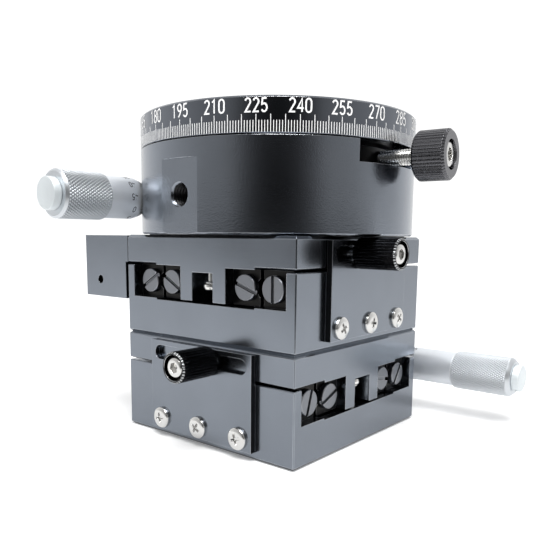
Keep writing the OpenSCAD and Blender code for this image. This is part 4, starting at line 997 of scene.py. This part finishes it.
def paint_finish(name, colour, roughness):
    """Paint rubbed into an engraving, a little uneven."""
    material, tree, shader = new_material(name)
    uneven = noise(tree, add_node(tree, "ShaderNodeTexCoord").outputs["Object"], 2500)
    tone = mixed_colour(tree, uneven, shade(colour, 0.85), shade(colour))
    sheen = remapped(tree, uneven, (0, 1), (roughness - 0.1, roughness + 0.1))
    normal = add_node(tree, "ShaderNodeBump", {"Distance": 0.000005, "Height": uneven}).outputs["Normal"]
    set_inputs(tree, shader, {"Base Color": tone, "Roughness": sheen, "Normal": normal})
    return material


dark_paint = paint_finish("dark_paint", (0.03, 0.03, 0.035), 0.5)
white_paint = paint_finish("white_paint", (0.97, 0.97, 0.97), 0.5)
dress(["x_spindle", "y_spindle", "r_spindle"], pin_steel)
dress(["x_sleeve", "y_sleeve", "r_sleeve"], satin_chrome)


def dress_drum(name, side, place, head):
    """Thimble of a micrometer with its marks, its figures and its end cap."""
    bevel, smooth, _ = head.radii
    edge = head.steps[0]
    drum = placed(thimble(name + "_knurled", head), place)
    stand_in(drum, side + "_drum", "satin_chrome", side + "_thimble")
    lean = math.atan2(smooth - bevel, edge)
    sizes = (bevel, MARK_FOOT, MARK_SHORT, MARK_LONG, head.mark_width, lean, head.zero_turn)
    marks = ring_marks(name + "_marks", THIMBLE_MARKS, LONG_EVERY, *sizes, dark_paint)
    stand_in(placed(marks, place), side + "_drum", "black_anodised")
    numbers = [(str(5 * i), head.zero_turn - math.radians(36 * i)) for i in range(10)]
    sizes = (head.figure_height, head.figure_pen, smooth + PAINT_LIFT, edge + head.figure_gap)
    figures = figures_round(name + "_figures", numbers, *sizes, dark_paint, along_axis=True)
    stand_in(placed(figures, place), side + "_drum", "black_anodised")
    cap = placed(end_cap(name + "_cap", head), place @ on_axis(head.steps[3]))
    stand_in(cap, side + "_drum", "satin_chrome", side + "_end_cap")


SLEEVE_RADIUS = 0.004
SCALE_LENGTH = 0.013
SCALE_TURN = math.radians(60)
SCALE_STEP = 0.0005
SCALE_LINE = 0.00012
SCALE_MARK = 0.0001
SCALE_LONG = 0.0014
SCALE_SHORT = 0.0009
SCALE_HALF = 0.0007
SCALE_FIGURE = 0.0011
SCALE_FIGURE_PEN = 0.16
SCALE_FIGURE_SIDE = 0.0017


def scale_of_sleeve(name):
    """Line along a sleeve with half millimetre marks beside it, and figures every 5 mm."""
    vertices, faces = [], []
    radius = SLEEVE_RADIUS + PAINT_LIFT
    start = -SCALE_LENGTH / 2

    def patch(level_low, level_high, aside_low, aside_high):
        first = len(vertices)
        turn_low, turn_high = SCALE_TURN + aside_low / radius, SCALE_TURN + aside_high / radius
        for level in (level_low, level_high):
            for i in range(5):
                turn = turn_low + (turn_high - turn_low) * i / 4
                vertices.append(round_point(radius, turn, level))
        for i in range(4):
            faces.append((first + i, first + i + 1, first + i + 6, first + i + 5))

    patch(start - SCALE_STEP, start + SCALE_LENGTH, -SCALE_LINE / 2, SCALE_LINE / 2)
    for i in range(int(SCALE_LENGTH / SCALE_STEP) + 1):
        level = start + SCALE_STEP * i
        reach = SCALE_SHORT if i % 10 else SCALE_LONG
        low, high = (-SCALE_HALF, 0) if i % 2 else (0, reach)
        patch(level - SCALE_MARK / 2, level + SCALE_MARK / 2, low, high)
    for i in range(int(SCALE_LENGTH / (10 * SCALE_STEP)) + 1):
        flat, quads = figure_shape(str(5 * i), SCALE_FIGURE_PEN)
        first = len(vertices)
        for x, y in flat:
            turn = SCALE_TURN + (SCALE_FIGURE_SIDE + (1 - y) * SCALE_FIGURE) / radius
            vertices.append(round_point(radius, turn, start + 10 * SCALE_STEP * i + x * SCALE_FIGURE))
        faces += [tuple(first + k for k in quad) for quad in quads]
    piece = plain_mesh(name, vertices, faces)
    piece.data.materials.append(dark_paint)
    return piece


for side, stage, fixed in (("x", LOWER_STAGE, "base"), ("y", UPPER_STAGE, "middle")):
    place = stage @ seat((MIC_BEVEL_PLACE, *MIC_AXIS), (1, 0, 0))
    dress_drum(side + "_thimble", side, place, linear_head)
    stand_in(placed(scale_of_sleeve(side + "_sleeve_scale"), place), fixed, "black_anodised")


# The body of the rotation stage
# A turned aluminium housing with a shadow gap under it, a milled flat with a threaded hole, and
# a window for the clamp screw. It is blasted and anodised like the stages below.

BODY_RADIUS = 0.038
BODY_BOTTOM = 0.055
FINE_AXIS = (-0.0275, 0.0647)
POCKET_RADIUS = 0.0064
BODY_FLAT = 0.0375
SIDE_HOLE_HEIGHT = 0.0644
SIDE_HOLE_DEPTH = 0.009
SIDE_HOLE_SPAN = (0.0007, 0.011)
SIDE_HOLE_CORE = 0.00502
SIDE_HOLE_THREAD = 0.006
SIDE_HOLE_PITCH = 0.001
TAP_OUTSIDE = 0.0005
THREAD_FLANK = 0.42


def thread_rod(name, thick, core, pitch, long, finish, samples=6):
    """Rod with a single thread along its whole length."""
    outline = [(0, 0, 0), (core / 2, 0, 0)]
    outline += rows(thick / 2, HAIR, long - HAIR, int(long / pitch * samples))
    outline += [(core / 2, long, 0), (0, long, 0)]
    rod = grooved(name, outline, ROUND_SIDES, 1, 1 / pitch, (thick - core) / 2, THREAD_FLANK, False, finish)
    finish_mesh(rod, 75)
    return rod


housing = plain_mesh("rotation_body", [], [])
housing.data = nodes["r_body"].data.copy()
tap = thread_rod("tap", SIDE_HOLE_THREAD, SIDE_HOLE_CORE, SIDE_HOLE_PITCH, SIDE_HOLE_DEPTH, None)
placed(tap, seat((0, -BODY_FLAT - TAP_OUTSIDE, SIDE_HOLE_HEIGHT), (0, 1, 0)))
cut_away(housing, [tap])
body_black = metal_finish(
    "body_black", (0.245, 0.268, 0.304), BLACK_WEAR_AND_HIGHLIGHT, 0.17,
    grain=2600, grain_height=0.00005, spread=0.04, edge=0.00012,
)
shell = housing.data
shell.materials.clear()
shell.materials.append(body_black)
shell.materials.append(oxide_steel)

# The hole, the pocket and the underside get the near black oxide finish, a painted shade for the shadow in
# them.
for face in shell.polygons:
    x, y, z = face.center
    off_hole = math.hypot(x, z - SIDE_HOLE_HEIGHT)
    in_hole = off_hole < SIDE_HOLE_THREAD * 0.52 and SIDE_HOLE_SPAN[0] < y + BODY_FLAT < SIDE_HOLE_SPAN[1]
    off_pocket = math.hypot(x - FINE_AXIS[0], z - FINE_AXIS[1])
    in_pocket = off_pocket < POCKET_RADIUS and y < 0 and math.hypot(x, y) < BODY_RADIUS - 0.0001
    face.material_index = int(in_hole or in_pocket or z < BODY_BOTTOM + HAIR)
finish_mesh(housing, 30)

# The milled flat keeps a sharp rim, and the round wall gets the normals of a true cylinder.
flat_index = set()
for face in shell.polygons:
    if face.normal.y < -0.999 and abs(face.center.y + BODY_FLAT) < HAIR:
        flat_index.add(face.index)
flat_keys = [key for index in flat_index for key in shell.polygons[index].edge_keys]
rim_keys = {key for key in flat_keys if flat_keys.count(key) == 1}
for edge in shell.edges:
    if edge.key in rim_keys:
        edge.use_edge_sharp = True
normals = [(0.0, 0.0, 0.0)] * len(shell.loops)
for face in shell.polygons:
    off_wall = abs(math.hypot(*face.center[:2]) - BODY_RADIUS)
    if face.index not in flat_index and abs(face.normal.z) < 0.01 and off_wall < 0.0001:
        for corner in face.loop_indices:
            spot = shell.vertices[shell.loops[corner].vertex_index].co
            normals[corner] = (spot.x / BODY_RADIUS, spot.y / BODY_RADIUS, 0.0)
shell.normals_split_custom_set(normals)
stand_in(housing, "top", "black_anodised", "r_body")


# The ring bearing
# A hardened outer race with a V groove, pressed into the body, and eighteen crossed rollers that
# run between it and the dial's hub.

# The race takes the rails' near black steel, a painted shade.
dress(["r_race_ring"], painted_shade_steel)
dress(["r_rollers"], polished_steel)


# The clamp ring and its arm
# A blackened steel ring turns round the dial's hub until the clamp screw grips it. The arm that
# hangs from it is pushed by the rotation micrometer.

dress(["r_clamp_ring"], oxide_steel)


# The clamp knob of the rotation stage
# A short black anodised knob with straight serrations, fixed on a long threaded steel screw that
# passes through the window in the body.

ROUND_SCREW_TURN = math.radians(5)
ROUND_SCREW_HEIGHT = 0.0745
ROUND_SCREW_START = 0.0178
ROUND_KNOB_START = 0.042
ROUND_KNOB_THICK = 0.0122
ROUND_KNOB_LONG = 0.0082
ROUND_KNOB_RIBS = 44
ROUND_RIB_DEPTH = 0.00028
ROUND_BEVEL = 0.0006
ROUND_BORE = 0.0072
ROUND_HEAD = 0.0062
ROUND_KEY = 0.0032
ROUND_SEAT = 0.0048
ROUND_SCREW_THICK = 0.004
ROUND_SCREW_CORE = 0.0032
ROUND_SCREW_PITCH = 0.0007

outward = Vector((math.cos(ROUND_SCREW_TURN), math.sin(ROUND_SCREW_TURN), 0))


def on_round_screw(distance):
    return seat(outward * distance + Vector((0, 0, ROUND_SCREW_HEIGHT)), outward)


sizes = (ROUND_KNOB_THICK, ROUND_KNOB_LONG, ROUND_KNOB_RIBS, ROUND_RIB_DEPTH)
sizes += (ROUND_BEVEL, ROUND_BORE, ROUND_SEAT)
knob_grey = metal_finish("knob_grey", (0.13, 0.13, 0.14), (0.65, 0.65, 0.67), 0.28, grain=2500, edge=0.00006)
knob = serrated_knob("round_knob_serrated", *sizes, knob_grey, knob_grey)
placed(knob, on_round_screw(ROUND_KNOB_START))
stand_in(knob, "r_clamp", "grey_anodised", "r_clamp_knob")
thread_steel = metal_finish(
    "thread_steel", (0.75, 0.745, 0.73), (0.9, 0.9, 0.9), 0.22, grain=1800, spread=0.05, edge=0.00003
)
rod_long = ROUND_KNOB_START + ROUND_SEAT - ROUND_SCREW_START
sizes = (ROUND_SCREW_THICK, ROUND_SCREW_CORE, ROUND_SCREW_PITCH, rod_long)
rod = placed(thread_rod("round_clamp_rod", *sizes, thread_steel, 12), on_round_screw(ROUND_SCREW_START))
stand_in(rod, "r_clamp", "bright_steel", "r_clamp_screw")
head = socket_head("round_knob_screw_head", ROUND_HEAD, SCREW_RISE, ROUND_KEY, nickel_plate)
placed(head, on_round_screw(ROUND_KNOB_START + ROUND_SEAT))
stand_in(head, "r_clamp", "bright_steel")


# The micrometer of the rotation stage
# A short micrometer head sunk in a pocket of the body. It pushes the clamp ring's arm, so the
# clamped dial turns through a few degrees.

FINE_BEVEL_PLACE = -0.0288
fine_head = SimpleNamespace(
    bore=0.0086,
    bore_depth=0.0139,
    radii=(0.0049, 0.0056, 0.0062),
    steps=(0.0024, 0.0119, 0.0247, 0.0255),
    end_slope=0.00056,
    knurls=48,
    knurl_rows=60,
    zero_turn=math.radians(-35),
    mark_width=0.00012,
    figure_height=0.0017,
    figure_pen=0.14,
    figure_gap=0.0013,
    cap_thick=0.0083,
    cap_long=0.0022,
    hole_turn=math.radians(120),
)
dress_drum("fine_thimble", "r", seat((FINE_AXIS[0], FINE_BEVEL_PLACE, FINE_AXIS[1]), (0, -1, 0)), fine_head)


# The spring plunger
# A steel housing screwed in from behind, with a spring that pushes a pin against the arm from
# the side opposite the micrometer.

PLUNGER_COIL = 0.0022
PLUNGER_WIRE = 0.0006
PLUNGER_CURLS = 8
PLUNGER_SPRING = (0.0133, 0.0242)

dress(["r_plunger_housing", "r_plunger_pin"], pin_steel)
low, high = PLUNGER_SPRING
route = []
for i in range(20 * PLUNGER_CURLS + 1):
    along = low + (high - low) * i / (20 * PLUNGER_CURLS)
    x, z, _ = round_point(PLUNGER_COIL, 2 * math.pi * i / 20, along)
    route.append((FINE_AXIS[0] + x, along, FINE_AXIS[1] + z))
coil = wire_piece("plunger_coil", route, PLUNGER_WIRE, 8, music_wire)
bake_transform(coil)
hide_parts("r_plunger_spring")


# The dial
# A turned aluminium table with its hub, anodised black. The marks and figures on its rim are
# engraved through the black and filled white, one mark to a degree and figures every 15 degrees.

DIAL_RADIUS = 0.038
DIAL_MARKS = 360
DIAL_MARK_FOOT = 0.0778
DIAL_SHORT = 0.00255
DIAL_LONG = 0.00385
DIAL_MARK_WIDTH = 0.00016
DIAL_FIGURE_FOOT = 0.08205
DIAL_FIGURE_HEIGHT = 0.0031
DIAL_FIGURE_PEN = 0.12
DIAL_PAINT_LIFT = 0.00003
DIAL_ZERO_TURN = math.radians(76.49)

dial_black = metal_finish(
    "dial_black", (0.18, 0.195, 0.222), (0.75, 0.76, 0.78), 0.13, spread=0.04, edge=0.0001
)
dress(["r_dial"], dial_black)
sizes = (DIAL_RADIUS, DIAL_MARK_FOOT, DIAL_SHORT, DIAL_LONG, DIAL_MARK_WIDTH, 0.0, DIAL_ZERO_TURN)
marks = ring_marks("dial_marks", DIAL_MARKS, LONG_EVERY, *sizes, white_paint)
stand_in(marks, "dial", "bright_steel")
numbers = [(str(15 * i), DIAL_ZERO_TURN + math.radians(15 * i)) for i in range(24)]
sizes = (DIAL_FIGURE_HEIGHT, DIAL_FIGURE_PEN, DIAL_RADIUS + DIAL_PAINT_LIFT, DIAL_FIGURE_FOOT)
figures = figures_round("dial_figures", numbers, *sizes, white_paint)
stand_in(figures, "dial", "bright_steel")
